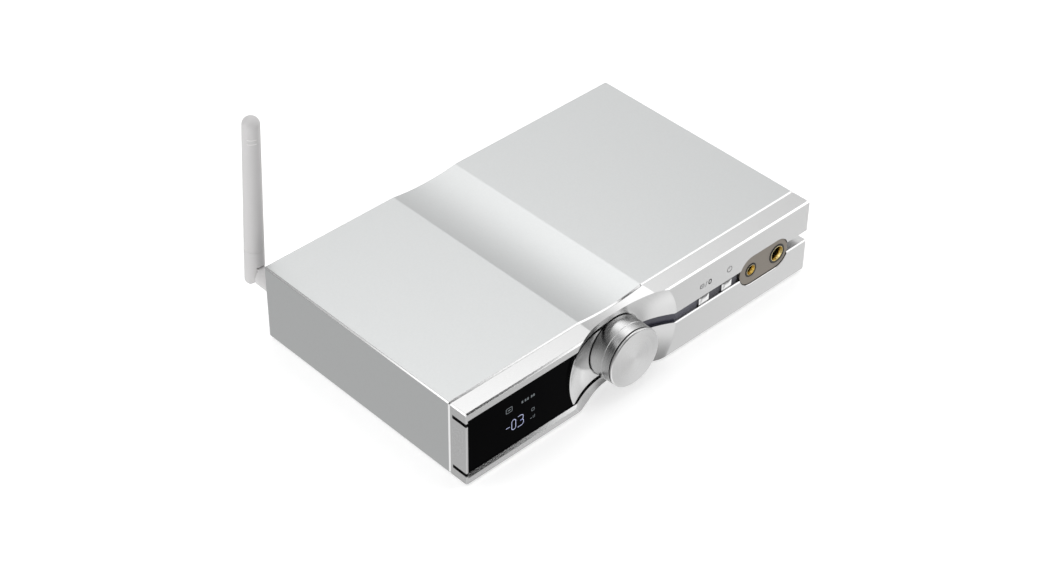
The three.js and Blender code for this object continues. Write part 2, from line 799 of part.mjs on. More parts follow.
function antennaBarrel() {
  const start = CASE_D + GAP - ANT.y;
  const end = -KNUCKLE_R - 0.45;
  const bore = SMA.neck + FIT;
  const boreEnd = PANEL_Y + PANEL_T + SMA.reach + 0.5 - ANT.y;
  const sleeve = turned(0, 0, [
    [bore, start],
    [BARREL_R, start],
    [BARREL_R, end],
    [0, end],
    [0, boreEnd],
    [bore, boreEnd],
    [bore, start],
  ]);
  const half = FORK_SLOT / 2 - GAP / 2;
  const neck = box([-half, end - 0.6, -TONGUE_R], [half, 0, TONGUE_R]);
  return cut(join(sleeve, neck, rodX(TONGUE_R, half)), rodX(PIN_R + FIT / 2, FAR, 16));
}

const PIN_R = 1.2;

function antennaKnuckle() {
  const blank = turnedUp([
    [0, -KNUCKLE_R],
    [KNUCKLE_R, -KNUCKLE_R],
    [KNUCKLE_R, KNUCKLE_TOP],
    [0, KNUCKLE_TOP],
  ]);
  const end = join(rodX(KNUCKLE_R, KNUCKLE_R, 28), box([-5, -5, 0], [5, 5, KNUCKLE_TOP]));
  const slot = box([-FORK_SLOT / 2, -2 * FAR, -2 * FAR], [FORK_SLOT / 2, 2 * FAR, FORK_TOP]);
  return cut(common(blank, end), slot, rodX(PIN_R + FIT / 2, 2 * FAR, 16));
}

function antennaWhip() {
  const seam = 0.1;
  const domeSteps = 6;
  const shoulder = ANT_LENGTH - WHIP_TIP_R;
  const profile = [
    [0, KNUCKLE_TOP + seam],
    [WHIP_R, KNUCKLE_TOP + seam],
    [WHIP_TIP_R, shoulder],
  ];
  for (let i = 1; i <= domeSteps; i += 1) {
    const angle = (i / domeSteps) * (Math.PI / 2);
    profile.push([Math.max(0, WHIP_TIP_R * Math.cos(angle)), shoulder + WHIP_TIP_R * Math.sin(angle)]);
  }
  profile[profile.length - 1][0] = 0;
  return turnedUp(profile);
}

function antenna(root) {
  const group = antennaGroup();
  group.add(
    part("antenna_barrel", antennaBarrel(), ANTENNA_PLASTIC),
    part("antenna_pin", rodX(PIN_R, KNUCKLE_R - 0.7, 16), STEEL),
    part("antenna_knuckle", antennaKnuckle(), ANTENNA_PLASTIC),
    part("antenna_whip", antennaWhip(), ANTENNA_PLASTIC),
  );
  root.add(part("antenna_socket", antennaSocket(), GOLD), group);
}

// ---------------------------------------------------------------- the whole amplifier
// The exported origin is the centre of the footprint, on the surface that the feet stand on.
function amplifier() {
  const root = new THREE.Group();
  const rearmost = ANT.y + KNUCKLE_R;
  root.position.set(-CASE_W / 2, -(KNOB_FRONT + rearmost) / 2, FOOT_H);
  root.add(
    part("body_sleeve", bodySleeve(), SILVER),
    part("rear_panel", rearPanel(), PANEL_GREY),
    part("fascia", fascia(), SATIN),
    part("display_window", displayWindow(), GLASS),
    part("screen_module", screenModule(), CHIP),
  );
  slitStrips(root);
  slotStrips(root);
  knobAndEncoder(root);
  buttons(root);
  frontJacks(root);
  boardParts(root);
  rearSockets(root);
  rearScrews(root);
  feet(root);
  antenna(root);
  const scene = new THREE.Group();
  scene.add(root);
  return scene;
}

export default amplifier();
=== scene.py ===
"""Looks of the desktop headphone amplifier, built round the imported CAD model.

Pieces are drawn in the casing's own millimetres: x from its left side, y back from its fascia,
z up from its underside. DEVICE places that frame where the CAD model's fascia is.
"""

import json
import math

import bmesh
import bpy
from mathutils import Matrix, Vector

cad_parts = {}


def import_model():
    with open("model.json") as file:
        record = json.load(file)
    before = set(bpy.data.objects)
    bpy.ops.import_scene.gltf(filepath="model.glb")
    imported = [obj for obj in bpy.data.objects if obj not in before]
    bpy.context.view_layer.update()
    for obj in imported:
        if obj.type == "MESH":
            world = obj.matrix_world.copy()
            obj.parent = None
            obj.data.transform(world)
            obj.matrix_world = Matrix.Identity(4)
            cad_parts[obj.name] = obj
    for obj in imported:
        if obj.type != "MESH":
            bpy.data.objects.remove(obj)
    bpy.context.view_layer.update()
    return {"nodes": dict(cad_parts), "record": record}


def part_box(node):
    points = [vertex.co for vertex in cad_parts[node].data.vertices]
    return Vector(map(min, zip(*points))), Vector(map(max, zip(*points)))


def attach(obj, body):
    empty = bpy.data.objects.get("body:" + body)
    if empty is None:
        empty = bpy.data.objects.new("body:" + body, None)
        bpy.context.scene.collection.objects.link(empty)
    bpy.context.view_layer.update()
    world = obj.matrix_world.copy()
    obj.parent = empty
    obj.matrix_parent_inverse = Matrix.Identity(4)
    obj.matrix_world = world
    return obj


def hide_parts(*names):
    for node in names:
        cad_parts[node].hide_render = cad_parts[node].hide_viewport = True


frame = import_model()

MM = 0.001
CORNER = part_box("fascia")[0]
DEVICE = Matrix.Translation(CORNER) @ Matrix.Scale(MM, 4)
MATERIALS = {m["slot"]: m for m in frame["record"]["materials"]}


def span(node):
    """The lowest and highest corner of a CAD node, in the casing's millimetres."""
    low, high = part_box(node)
    return (low - CORNER) / MM, (high - CORNER) / MM


def middle(node):
    low, high = span(node)
    return (low + high) / 2


# ------------------------------------------------------------------ sizes, from the frame
FASCIA_HIGH = span("fascia")[1]
SLEEVE_LOW, SLEEVE_HIGH = span("body_sleeve")
CASE_W = FASCIA_HIGH.x
CASE_H = FASCIA_HIGH.z
CASE_D = SLEEVE_HIGH.y
MID_Z = CASE_H / 2
FASCIA_D = FASCIA_HIGH.y
SLEEVE_Y = SLEEVE_LOW.y
FLOOR_Y = FASCIA_D - 1.5  # bottom of the fascia's slits, slot and knob pocket
CUTTER_Y = -4.0  # where the cutters start, in front of the fascia
ENCODER_HOLE_R = 4.5
EDGE = 0.7
VALLEY_X = 94.4
VALLEY_HALF = 19.5
VALLEY_DEEP = 1.6
VALLEY_R = (VALLEY_HALF**2 + VALLEY_DEEP**2) / (2 * VALLEY_DEEP)

KNOB = middle("knob_cap")
KNOB_R = (span("knob_body")[1].x - span("knob_body")[0].x) / 2
CAP_R = (span("knob_cap")[1].x - span("knob_cap")[0].x) / 2
POCKET_R = KNOB_R + 0.6
DISH_R = 33.2
DISH_DEEP = 6.5
DISH_POWER = 1.6

GLASS_Y = span("display_window")[0].y
GLASS_BACK = span("display_window")[1].y
WINDOW_X = span("display_window")[0].x - 0.1
SLIT_HALF = 0.95
SLIT_Z = (span("upper_slit_strip")[0].z + span("upper_slit_strip")[1].z) / 2 - MID_Z
SLOT_HALF = 2.65
STRIP_Y = span("slot_strip_left")[0].y

PILL = middle("jack_plate")
PILL_LOW, PILL_HIGH = span("jack_plate")
PILL_W = PILL_HIGH.x - PILL_LOW.x
PILL_H = PILL_HIGH.z - PILL_LOW.z


# ------------------------------------------------------------------ mesh helpers
def circle(x, z, radius, count=48):
    """A counterclockwise circle in x and z."""
    turns = [2 * math.pi * i / count for i in range(count)]
    return [(x + radius * math.cos(a), z + radius * math.sin(a)) for a in turns]


def arc(x, z, radius, start, end, count):
    """Points on an arc from start to end, in degrees."""
    turns = [math.radians(start + (end - start) * i / count) for i in range(count + 1)]
    return [(x + radius * math.cos(a), z + radius * math.sin(a)) for a in turns]


def rectangle(x0, x1, z0, z1):
    return [(x0, z0), (x1, z0), (x1, z1), (x0, z1)]


def stadium(x, z, width, height, count=24):
    reach = (width - height) / 2
    right = arc(x + reach, z, height / 2, -90, 90, count)
    left = arc(x - reach, z, height / 2, 90, 270, count)
    return right + left


def soft_rectangle(x, z, width, height, radius, count=6):
    """A rounded rectangle whose number of points doesn't depend on its size."""
    loop = []
    for right, up, start in ((1, 1, 0), (-1, 1, 90), (-1, -1, 180), (1, -1, 270)):
        corner_x = x + right * (width / 2 - radius)
        corner_z = z + up * (height / 2 - radius)
        loop += arc(corner_x, corner_z, radius, start, start + 90, count)
    return loop


def rounded(points, count=6, closed=True):
    """An outline whose points may carry a third value, the radius of their rounded corner."""
    made = []
    for i, point in enumerate(points):
        inner = closed or 0 < i < len(points) - 1
        if len(point) < 3 or not point[2] or not inner:
            made.append((point[0], point[1]))
            continue
        here = Vector(point[:2])
        to_last = (Vector(points[i - 1][:2]) - here).normalized()
        to_next = (Vector(points[(i + 1) % len(points)][:2]) - here).normalized()
        half = to_last.angle(to_next) / 2
        start = here + to_last * (point[2] / math.tan(half))
        end = here + to_next * (point[2] / math.tan(half))
        centre = here + (to_last + to_next).normalized() * (point[2] / math.sin(half))
        a, b = start - centre, end - centre
        sweep = a.angle_signed(b)
        for k in range(count + 1):
            turned = a.copy()
            turned.rotate(Matrix.Rotation(-sweep * k / count, 2))
            made.append(tuple(centre + turned))
    return made


def area(loop):
    pairs = zip(loop, loop[1:] + loop[:1])
    return sum(a[0] * b[1] - b[0] * a[1] for a, b in pairs) / 2


def counterclockwise(loop):
    return loop if area(loop) > 0 else loop[::-1]


def shrink(loop, distance):
    """The loop moved to its own left, which is inwards for a counterclockwise one."""
    made = []
    for i, point in enumerate(loop):
        before = Vector(point) - Vector(loop[i - 1])
        after = Vector(loop[(i + 1) % len(loop)]) - Vector(point)
        n1 = Vector((-before.y, before.x)).normalized()
        n2 = Vector((-after.y, after.x)).normalized()
        made.append(tuple(Vector(point) + (n1 + n2) * (distance / (1 + n1.dot(n2)))))
    return made


def ring(bm, loop, y):
    return [bm.verts.new((x, y, z)) for x, z in loop]


def wall(bm, first, second):
    """Quads between two rings of the same length."""
    for i, vert in enumerate(first):
        j = (i + 1) % len(first)
        bm.faces.new((vert, first[j], second[j], second[i]))


def cap(bm, *rings):
    """A flat face with holes between rings."""
    edges = []
    for verts in rings:
        for i, vert in enumerate(verts):
            other = verts[(i + 1) % len(verts)]
            edges.append(bm.edges.get((vert, other)) or bm.edges.new((vert, other)))
    bmesh.ops.triangle_fill(bm, use_beauty=True, edges=edges)


def seal(bm):
    """The mesh with doubled points joined and its faces turned outwards."""
    bmesh.ops.remove_doubles(bm, verts=bm.verts, dist=1e-5)
    bmesh.ops.recalc_face_normals(bm, faces=bm.faces)
    return bm


def loft(bm, rings):
    """A solid through rings of one length, flat at both ends."""
    for first, second in zip(rings, rings[1:]):
        wall(bm, first, second)
    cap(bm, rings[0])
    cap(bm, rings[-1])
    return seal(bm)


def prism(loops, y0, y1, front=0.0, back=0.0, steps=3):
    """A plate between y0 and y1, softened by front and back: an outline, then its holes."""
    bm = bmesh.new()
    turned = [loop if (area(loop) > 0) == (i == 0) else loop[::-1] for i, loop in enumerate(loops)]
    levels = []
    for k in range(steps + 1 if front else 1):
        angle = math.pi / 2 * k / steps
        levels.append((front * (1 - math.sin(angle)), y0 + front * (1 - math.cos(angle))))
    for k in range(steps + 1 if back else 1):
        angle = math.pi / 2 * k / steps
        levels.append((back * (1 - math.cos(angle)), y1 - back * (1 - math.sin(angle))))
    ends = ([], [])
    for loop in turned:
        rings = [ring(bm, shrink(loop, inset) if inset else loop, y) for inset, y in levels]
        for first, second in zip(rings, rings[1:]):
            wall(bm, first, second)
        ends[0].append(rings[0])
        ends[1].append(rings[-1])
    for rings in ends:
        cap(bm, *rings)
    return seal(bm)


def rod(radius, start, end):
    """The profile of a plain cylinder."""
    return [(0, start), (radius, start), (radius, end), (0, end)]


def lathe(profile, x=0.0, z=0.0, count=96, closed=False):
    """A turned solid about the Y axis through x, z: the profile is (radius, y) points."""
    bm = bmesh.new()
    rows = []
    for radius, y in profile:
        if radius < 1e-6:
            rows.append([bm.verts.new((x, y, z))])
        else:
            rows.append(ring(bm, circle(x, z, radius, count), y))
    pairs = list(zip(rows, rows[1:]))
    if closed:
        pairs.append((rows[-1], rows[0]))
    for first, second in pairs:
        if len(first) == 1 and len(second) == 1:
            continue
        if len(first) == len(second):
            wall(bm, first, second)
            continue
        pole, round_row = (first[0], second) if len(first) == 1 else (second[0], first)
        for i, vert in enumerate(round_row):
            bm.faces.new((pole, vert, round_row[(i + 1) % count]))
    return seal(bm)


def block(x0, x1, y0, y1, z0, z1, soft=0.0):
    """A box with softened edges."""
    bm = bmesh.new()
    size = Matrix.Diagonal((x1 - x0, y1 - y0, z1 - z0, 1))
    place = Matrix.Translation(((x0 + x1) / 2, (y0 + y1) / 2, (z0 + z1) / 2))
    bmesh.ops.create_cube(bm, size=1, matrix=place @ size)
    if soft:
        bmesh.ops.bevel(bm, geom=bm.edges[:], offset=soft, segments=2, profile=0.5, affect="EDGES")
    return bm


def merged(*parts):
    """Several closed meshes as one."""
    bm = bmesh.new()
    for part in parts:
        mesh = bpy.data.meshes.new("merged")
        part.to_mesh(mesh)
        bm.from_mesh(mesh)
        bpy.data.meshes.remove(mesh)
        part.free()
    return bm


def scratch(bm):
    """A temporary object holding the mesh."""
    mesh = bpy.data.meshes.new("scratch")
    bm.to_mesh(mesh)
    bm.free()
    obj = bpy.data.objects.new("scratch", mesh)
    bpy.context.scene.collection.objects.link(obj)
    return obj


def boolean(bm, operation, *others):
    """The mesh after joining to it, or cutting from it, each of the others."""
    base = scratch(bm)
    tools = [scratch(other) for other in others]
    for tool in tools:
        modifier = base.modifiers.new("boolean", "BOOLEAN")
        modifier.operation = operation
        modifier.object = tool
        modifier.solver = "MANIFOLD"
    graph = bpy.context.evaluated_depsgraph_get()
    result = bpy.data.meshes.new_from_object(base.evaluated_get(graph))
    made = bmesh.new()
    made.from_mesh(result)
    bpy.data.meshes.remove(result)
    for obj in [base, *tools]:
        mesh = obj.data
        bpy.data.objects.remove(obj)
        bpy.data.meshes.remove(mesh)
    bmesh.ops.remove_doubles(made, verts=made.verts, dist=1e-3)
    bmesh.ops.dissolve_limit(
        made, angle_limit=math.radians(0.3), verts=made.verts, edges=made.edges
    )
    return made


def cut(bm, *others):
    return boolean(bm, "DIFFERENCE", *others)


def join(bm, *others):
    return boolean(bm, "UNION", *others)


def keep_flats_flat(obj):
    """Normals weighted by face area, so that large flat faces stay flat beside their soft edges."""
    modifier = obj.modifiers.new("weighted", "WEIGHTED_NORMAL")
    modifier.keep_sharp = True
    modifier.weight = 100
    graph = bpy.context.evaluated_depsgraph_get()
    plain = obj.data
    obj.data = bpy.data.meshes.new_from_object(obj.evaluated_get(graph))
    obj.modifiers.remove(modifier)
    name = plain.name
    bpy.data.meshes.remove(plain)
    obj.data.name = name


def piece(name, bm, material, body, slot, *nodes, place=DEVICE, sharp=32):
    """A finished piece: placed, smooth-shaded between its sharp edges, riding on a body."""
    mesh = bpy.data.meshes.new(name)
    bm.transform(place)
    bm.to_mesh(mesh)
    bm.free()
    mesh.polygons.foreach_set("use_smooth", [True] * len(mesh.polygons))
    mesh.set_sharp_from_angle(angle=math.radians(sharp))
    for each in material if isinstance(material, tuple) else (material,):
        mesh.materials.append(each)
    obj = bpy.data.objects.new(name, mesh)
    bpy.context.scene.collection.objects.link(obj)
    keep_flats_flat(obj)
    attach(obj, body)
    if nodes:
        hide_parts(*nodes)


def fixed(name, bm, material, slot, *nodes, **more):
    """A finished piece that stays with the casing."""
    piece(name, bm, material, "chassis", slot, *nodes, **more)


# ------------------------------------------------------------------ material helpers
class Nodes:
    """A short way to write a material's nodes."""

    def __init__(self, tree):
        self.tree = tree
        self.coords = tree.nodes.new("ShaderNodeTexCoord").outputs["Object"]

    def add(self, kind, inputs=(), **settings):
        node = self.tree.nodes.new("ShaderNode" + kind)
        for name, value in settings.items():
            setattr(node, name, value)
        for name, value in dict(inputs).items():
            if isinstance(value, bpy.types.NodeSocket):
                self.tree.links.new(value, node.inputs[name])
            else:
                node.inputs[name].default_value = value
        return node

    def noise(self, scale, detail, vector=None):
        inputs = {"Vector": vector or self.coords, "Scale": scale, "Detail": detail}
        return self.add("TexNoise", inputs).outputs["Fac"]

    def between(self, value, low, high, start=0.0, end=1.0):
        """The value's range start..end mapped to low..high."""
        inputs = {"Value": value, "From Min": start, "From Max": end, "To Min": low, "To Max": high}
        return self.add("MapRange", inputs).outputs["Result"]

    def math(self, operation, a, b=0.0):
        return self.add("Math", {0: a, 1: b}, operation=operation).outputs[0]

    def tint(self, factor, dark, light):
        node = self.add("Mix", data_type="RGBA")
        self.tree.links.new(factor, node.inputs["Factor"])
        node.inputs[6].default_value = (*dark, 1)
        node.inputs[7].default_value = (*light, 1)
        return node.outputs[2]

    def bump(self, height, distance):
        inputs = {"Height": height, "Distance": distance, "Strength": 1.0}
        return self.add("Bump", inputs).outputs["Normal"]


def material(name, **sockets):
    """A Principled material with constants on its own sockets, and its node writer."""
    made = bpy.data.materials.new(name)
    made.use_nodes = True
    tree = made.node_tree
    shader = tree.nodes["Principled BSDF"]
    for key, value in sockets.items():
        shader.inputs[key.replace("_", " ")].default_value = value
    return made, Nodes(tree), shader


def link(nodes, shader, **sockets):
    for key, value in sockets.items():
        nodes.tree.links.new(value, shader.inputs[key.replace("_", " ")])


def base_colour(slot):
    return Vector(MATERIALS[slot]["base_color"])


def blasted_aluminium(name, slot, grain, depth, rough, spread):
    """Bead-blasted, anodised aluminium: fine pits over a faint large-scale unevenness."""
    made, nodes, shader = material(name, Metallic=1.0)
    colour = base_colour(slot)
    fine = nodes.noise(grain, 3.0)
    cloud = nodes.noise(grain * 0.3, 2.0)
    mixed = nodes.math("ADD", nodes.math("MULTIPLY", fine, 0.5), nodes.math("MULTIPLY", cloud, 0.5))
    tint = nodes.tint(mixed, colour * (1 - spread), colour * (1 + spread))
    roughness = nodes.between(fine, rough - 0.05, rough + 0.05, 0.3, 0.7)
    normal = nodes.bump(fine, depth)
    link(nodes, shader, Base_Color=tint, Roughness=roughness, Normal=normal)
    return made


def turned_metal(name, slot, rough, line, depth, centre, spin=0.0, shade=1.0):
    """Metal off a lathe: fine rings round the Y axis through centre."""
    made, nodes, shader = material(name, Metallic=1.0, Anisotropic=spin)
    offset = nodes.add("VectorMath", {0: nodes.coords, 1: centre}, operation="SUBTRACT").outputs[0]
    parts = nodes.add("SeparateXYZ", {0: offset})
    flat = nodes.add("CombineXYZ", {"X": parts.outputs["X"], "Y": parts.outputs["Z"]}).outputs[0]
    radius = nodes.add("VectorMath", {0: flat}, operation="LENGTH").outputs["Value"]
    rings = nodes.add("CombineXYZ", {"X": radius, "Y": parts.outputs["Y"]}).outputs[0]
    lines = nodes.noise(line, 3.0, rings)
    colour = base_colour(slot) * shade
    tint = nodes.tint(lines, colour * 0.93, colour * 1.05)
    roughness = nodes.between(lines, rough - 0.05, rough + 0.06, 0.3, 0.7)
    link(nodes, shader, Base_Color=tint, Roughness=roughness, Normal=nodes.bump(lines, depth))
    if spin:
        tangent = nodes.add("Tangent", direction_type="RADIAL", axis="Y").outputs[0]
        link(nodes, shader, Tangent=tangent)
    return made


def plated(name, slot, rough, depth=2e-6):
    """Smooth plated metal with faint handling marks."""
    made, nodes, shader = material(name, Metallic=1.0)
    colour = base_colour(slot)
    marks = nodes.noise(900.0, 4.0)
    tint = nodes.tint(marks, colour * 0.9, colour * 1.08)
    roughness = nodes.between(marks, rough - 0.06, rough + 0.08, 0.3, 0.7)
    link(nodes, shader, Base_Color=tint, Roughness=roughness, Normal=nodes.bump(marks, depth))
    return made


def moulded(name, slot, rough, grain, depth, spread=0.06, shade=1.0, **sockets):
    """Moulded plastic or rubber with a fine spark-eroded grain."""
    made, nodes, shader = material(name, **sockets)
    colour = base_colour(slot) * shade
    fine = nodes.noise(grain, 3.0)
    cloud = nodes.noise(60.0, 2.0)
    tint = nodes.tint(cloud, colour * (1 - spread), colour * (1 + spread))
    roughness = nodes.between(fine, rough - 0.06, rough + 0.06, 0.3, 0.7)
    link(nodes, shader, Base_Color=tint, Roughness=roughness, Normal=nodes.bump(fine, depth))
    return made


def glowing(name, colour, strength):
    """Lit display characters, slightly uneven."""
    made, nodes, shader = material(name, Roughness=0.1, Emission_Strength=strength)
    uneven = nodes.noise(700.0, 1.0)
    tint = nodes.tint(uneven, Vector(colour) * 0.85, Vector(colour))
    link(nodes, shader, Base_Color=tint, Emission_Color=tint)
    return made


# Grain and line sizes are per metre and bump depths in metres.
CASING = blasted_aluminium("bead_blasted_aluminium", "casing", 3200.0, 1.6e-5, 0.34, 0.05)
FASCIA = blasted_aluminium("satin_aluminium", "fascia", 5200.0, 1e-6, 0.24, 0.02)
CUT = turned_metal("diamond_cut_edge", "fascia", 0.1, 2400.0, 4e-7, Vector(), shade=1.2)
PANEL = blasted_aluminium("rear_aluminium", "rear_panel", 3200.0, 1.6e-5, 0.45, 0.03)
KNOB_CENTRE = CORNER + KNOB * MM
DISH = turned_metal("dish_metal", "fascia", 0.2, 2400.0, 1e-6, KNOB_CENTRE)
KNOB_SIDE = turned_metal("knob_side_metal", "knob", 0.26, 2600.0, 1.5e-6, KNOB_CENTRE, 0.85)
# The knob's face: the knob's own metal raised ×1.15, a lighter copy that is painted light.
KNOB_FACE_PAINTED_LIGHT = turned_metal("knob_face_metal", "knob", 0.3, 4200.0, 2.5e-6, KNOB_CENTRE, 0.6, 1.15)
BUTTON = plated("button_aluminium", "button", 0.16, 4e-7)
BRONZE = blasted_aluminium("bronze_anodised", "bronze", 4200.0, 8e-6, 0.38, 0.05)
GOLD = plated("gold_plate", "gold", 0.18)
STEEL = plated("plated_steel", "steel", 0.3)
TIN = plated("tin_plate", "tinned", 0.35)
GLASS = moulded("display_lens", "display", 0.1, 500.0, 1e-7, shade=0.1, Specular_IOR_Level=0.01)
# The slits' strips: the display's colour darkened ×0.2 with its reflection taken away, painted shade
# standing in for the shade deep in the slits.
SLIT_PAINTED_SHADE = moulded("slit_bottom", "display", 0.4, 900.0, 1e-6, shade=0.2, Specular_IOR_Level=0.0)
# Two copies of one smoked plastic: the first, raised ×1.1, is painted light on the strip beside the
# knob; the second, darkened ×0.6, is painted shade on the strips further along the slot.
SMOKED = moulded("smoked_plastic", "smoked_strip", 0.25, 1500.0, 1e-6, shade=1.1)
SMOKED_PAINTED_SHADE = moulded("smoked_plastic_painted_shade", "smoked_strip", 0.25, 1500.0, 1e-6, shade=0.6)
BLACK = moulded("black_moulding", "black_plastic", 0.45, 3500.0, 6e-6)
ANTENNA = moulded("antenna_moulding", "antenna", 0.42, 3500.0, 5e-6, 0.02)
# The antenna's ribs: the antenna plastic raised ×1.25, a lighter copy that is a painted highlight on
# the raised bars.
RIB = moulded("antenna_rib", "antenna", 0.4, 3500.0, 5e-6, 0.02, 1.25)
BOARD = moulded("solder_mask", "board", 0.4, 800.0, 4e-6)
CHIP = moulded("chip_moulding", "chip", 0.5, 3500.0, 4e-6)
SLEEVED = moulded("capacitor_sleeve", "capacitor", 0.35, 900.0, 2e-6)
RIBBON = moulded("ribbon_plastic", "ribbon", 0.5, 1200.0, 3e-6)
RUBBER = moulded("foot_rubber", "rubber", 0.8, 2500.0, 1.2e-5)
GLOW = glowing("display_glow", (0.42, 0.45, 0.66), 0.52)
GLOW_DIM = glowing("display_glow_dim", (0.1, 0.115, 0.125), 0.4)
PRINT = moulded("printed_ink", "black_plastic", 0.6, 2500.0, 1e-6)

FRAME_MATERIALS = {
    "casing": CASING,
    "fascia": FASCIA,
    "rear_panel": PANEL,
    "display": GLASS,
    "smoked_strip": SMOKED,
    "knob": KNOB_SIDE,
    "button": BUTTON,
    "bronze": BRONZE,
    "gold": GOLD,
    "black_plastic": BLACK,
    "antenna": ANTENNA,
    "steel": STEEL,
    "tinned": TIN,
    "board": BOARD,
    "chip": CHIP,
    "capacitor": SLEEVED,
    "ribbon": RIBBON,
    "rubber": RUBBER,
}


def dress_frame():
    """Every CAD node gets its slot's procedural material."""
    for row in frame["record"]["subparts"]:
        obj = frame["nodes"][row["node"]]
        obj.data.materials.clear()
        obj.data.materials.append(FRAME_MATERIALS[row["material_slot"]])


# ------------------------------------------------------------------ casing
def valley(x):
    """Depth of the shallow valley at x."""
    off = abs(x - VALLEY_X)
    if off >= VALLEY_HALF:
        return 0.0
    return math.sqrt(VALLEY_R**2 - off**2) - (VALLEY_R - VALLEY_DEEP)


def casing_loop():
    """The casing's section: chamfered corners, and the valley above and below."""
    count = 40
    xs = [VALLEY_X + VALLEY_HALF * (2 * i / count - 1) for i in range(count + 1)]
    under = [(x, valley(x)) for x in xs]
    over = [(x, CASE_H - valley(x)) for x in reversed(xs)]
    right, top, soft = CASE_W - EDGE, CASE_H - EDGE, 0.25
    loop = [(EDGE, 0, soft), *under, (right, 0, soft), (CASE_W, EDGE, soft), (CASE_W, top, soft)]
    loop += [(right, CASE_H, soft), *over, (EDGE, CASE_H, soft), (0, top, soft), (0, EDGE, soft)]
    return rounded(loop, 2)


def casing_sleeve():
    """The hollow sleeve, with the chamfer of the shadow gap in front and a seat for the rear panel."""
    wall_x, wall_z, boss = 2.0, 3.4, 6.2
    inset = 1 + boss
    x0, x3, z0, z3 = wall_x, CASE_W - wall_x, wall_z, CASE_H - wall_z
    x1, x2, z1, z2 = x0 + inset, x3 - inset, z0 + boss, z3 - boss
    inside = [(x0, z1), (x1, z1), (x1, z0), (x2, z0), (x2, z1), (x3, z1)]
    inside += [(x3, z2), (x2, z2), (x2, z3), (x1, z3), (x1, z2), (x0, z2)]
    seat = rectangle(x0, x3, z0, z3)
    seat_y = span("rear_panel")[0].y - 0.1
    loop = casing_loop()
    front_y = SLEEVE_Y - 0.25
    bm = bmesh.new()
    levels = [(0.95, front_y), (0.05, front_y + 0.9), (0, front_y + 1.0)]
    levels += [(0, CASE_D - 0.3), (0.09, CASE_D - 0.09), (0.3, CASE_D)]
    outer = [ring(bm, shrink(loop, back) if back else loop, y) for back, y in levels]
    for first, second in zip(outer, outer[1:]):
        wall(bm, first, second)
    front, floor = ring(bm, inside, front_y), ring(bm, inside, seat_y)
    mouth, rear = ring(bm, seat, seat_y), ring(bm, seat, CASE_D)
    wall(bm, front, floor)
    wall(bm, mouth, rear)
    cap(bm, outer[0], front)
    cap(bm, mouth, floor)
    cap(bm, outer[-1], rear)
    for face in seal(bm).faces:
        chamfer = -0.9 < face.normal.y < -0.4 and face.calc_center_median().y < front_y + 0.95
        if chamfer or min(abs(face.normal.x), abs(face.normal.z)) > 0.55:
            face.material_index = 1
    fixed("casing_sleeve", bm, (CASING, CUT), "casing", "body_sleeve", sharp=24)


# ------------------------------------------------------------------ fascia
def dish_y(radius):
    """Depth of the dish at a distance from the knob's axis."""
    share = max(0.0, (radius - POCKET_R) / (DISH_R - POCKET_R))
    return DISH_DEEP * (1 - share**DISH_POWER)


def dish_tool(back=0.0, floor=FLOOR_Y, count=256, steps=28):
    """The solid that mills the dish and the knob's pocket, set back by a distance."""
    profile = [(0, -8), (DISH_R + 8 + 0.25, -8), (DISH_R + 0.25, back), (DISH_R, back + 0.1)]
    for i in range(1, steps + 1):
        radius = DISH_R + (POCKET_R - DISH_R) * i / steps
        profile.append((radius, dish_y(radius) + back))
    profile += [(POCKET_R, floor), (0, floor)]
    return lathe(profile, KNOB.x, KNOB.z, count)


def flared(loop, floor, flare):
    """A cutter with the loop's section whose mouth opens out at the fascia's front."""
    turned = counterclockwise(loop)
    bm = bmesh.new()
    levels = [(-flare, CUTTER_Y), (-flare, 0.0), (-0.05, flare - 0.05), (0.0, flare + 0.05)]
    rings = [ring(bm, shrink(turned, inset), y) for inset, y in levels]
    rings.append(ring(bm, turned, floor))
    return loft(bm, rings)


def window_loop(ends):
    """The display's opening: left of the dish's round wing, with the slits running on to ends."""
    half = SLIT_Z + SLIT_HALF
    inner = SLIT_Z - SLIT_HALF
    corner = 1.8
    radius = DISH_R
    reach = math.degrees(math.asin(inner / radius))
    bend = math.degrees(corner / radius)
    wing = arc(KNOB.x, MID_Z, radius, 180 + reach - bend, 180 - reach + bend, 40)
    tip = KNOB.x - radius * math.cos(math.radians(reach))
    tip_x, soft = tip - 0.1, corner * 0.55
    lower = [wing[0], (tip_x, MID_Z - inner, soft), (ends, MID_Z - inner)]
    upper = [(ends, MID_Z + inner), (tip_x, MID_Z + inner, soft), wing[-1]]
    lower, upper = rounded(lower, 8, False), rounded(upper, 8, False)
    return [
        (WINDOW_X, MID_Z - half),
        (ends, MID_Z - half),
        (ends, MID_Z - inner),
        *lower[::-1][1:-1],
        *wing,
        *upper[::-1][1:-1],
        (ends, MID_Z + inner),
        (ends, MID_Z + half),
        (WINDOW_X, MID_Z + half),
    ]


def window_tool(ends):
    """The display's cutter: a wide bevel above and below the glass, a narrow one elsewhere."""
    turned = counterclockwise(window_loop(ends))
    half = SLIT_Z + SLIT_HALF - 0.01
    edge, lip = 0.3, 0.9
    levels = [(CUTTER_Y, edge, lip), (0.0, edge, lip), (edge, 0.0, lip), (edge + lip, 0.0, 0.0)]
    levels.append((GLASS_BACK + 0.1, 0.0, 0.0))
    bm = bmesh.new()
    rings = []
    for y, grow, rise in levels:
        grown = []
        for x, z in shrink(turned, -grow):
            off = z - MID_Z
            grown.append((x, z + math.copysign(rise, off) if abs(off) > half else z))
        rings.append(ring(bm, grown, y))
    return loft(bm, rings)


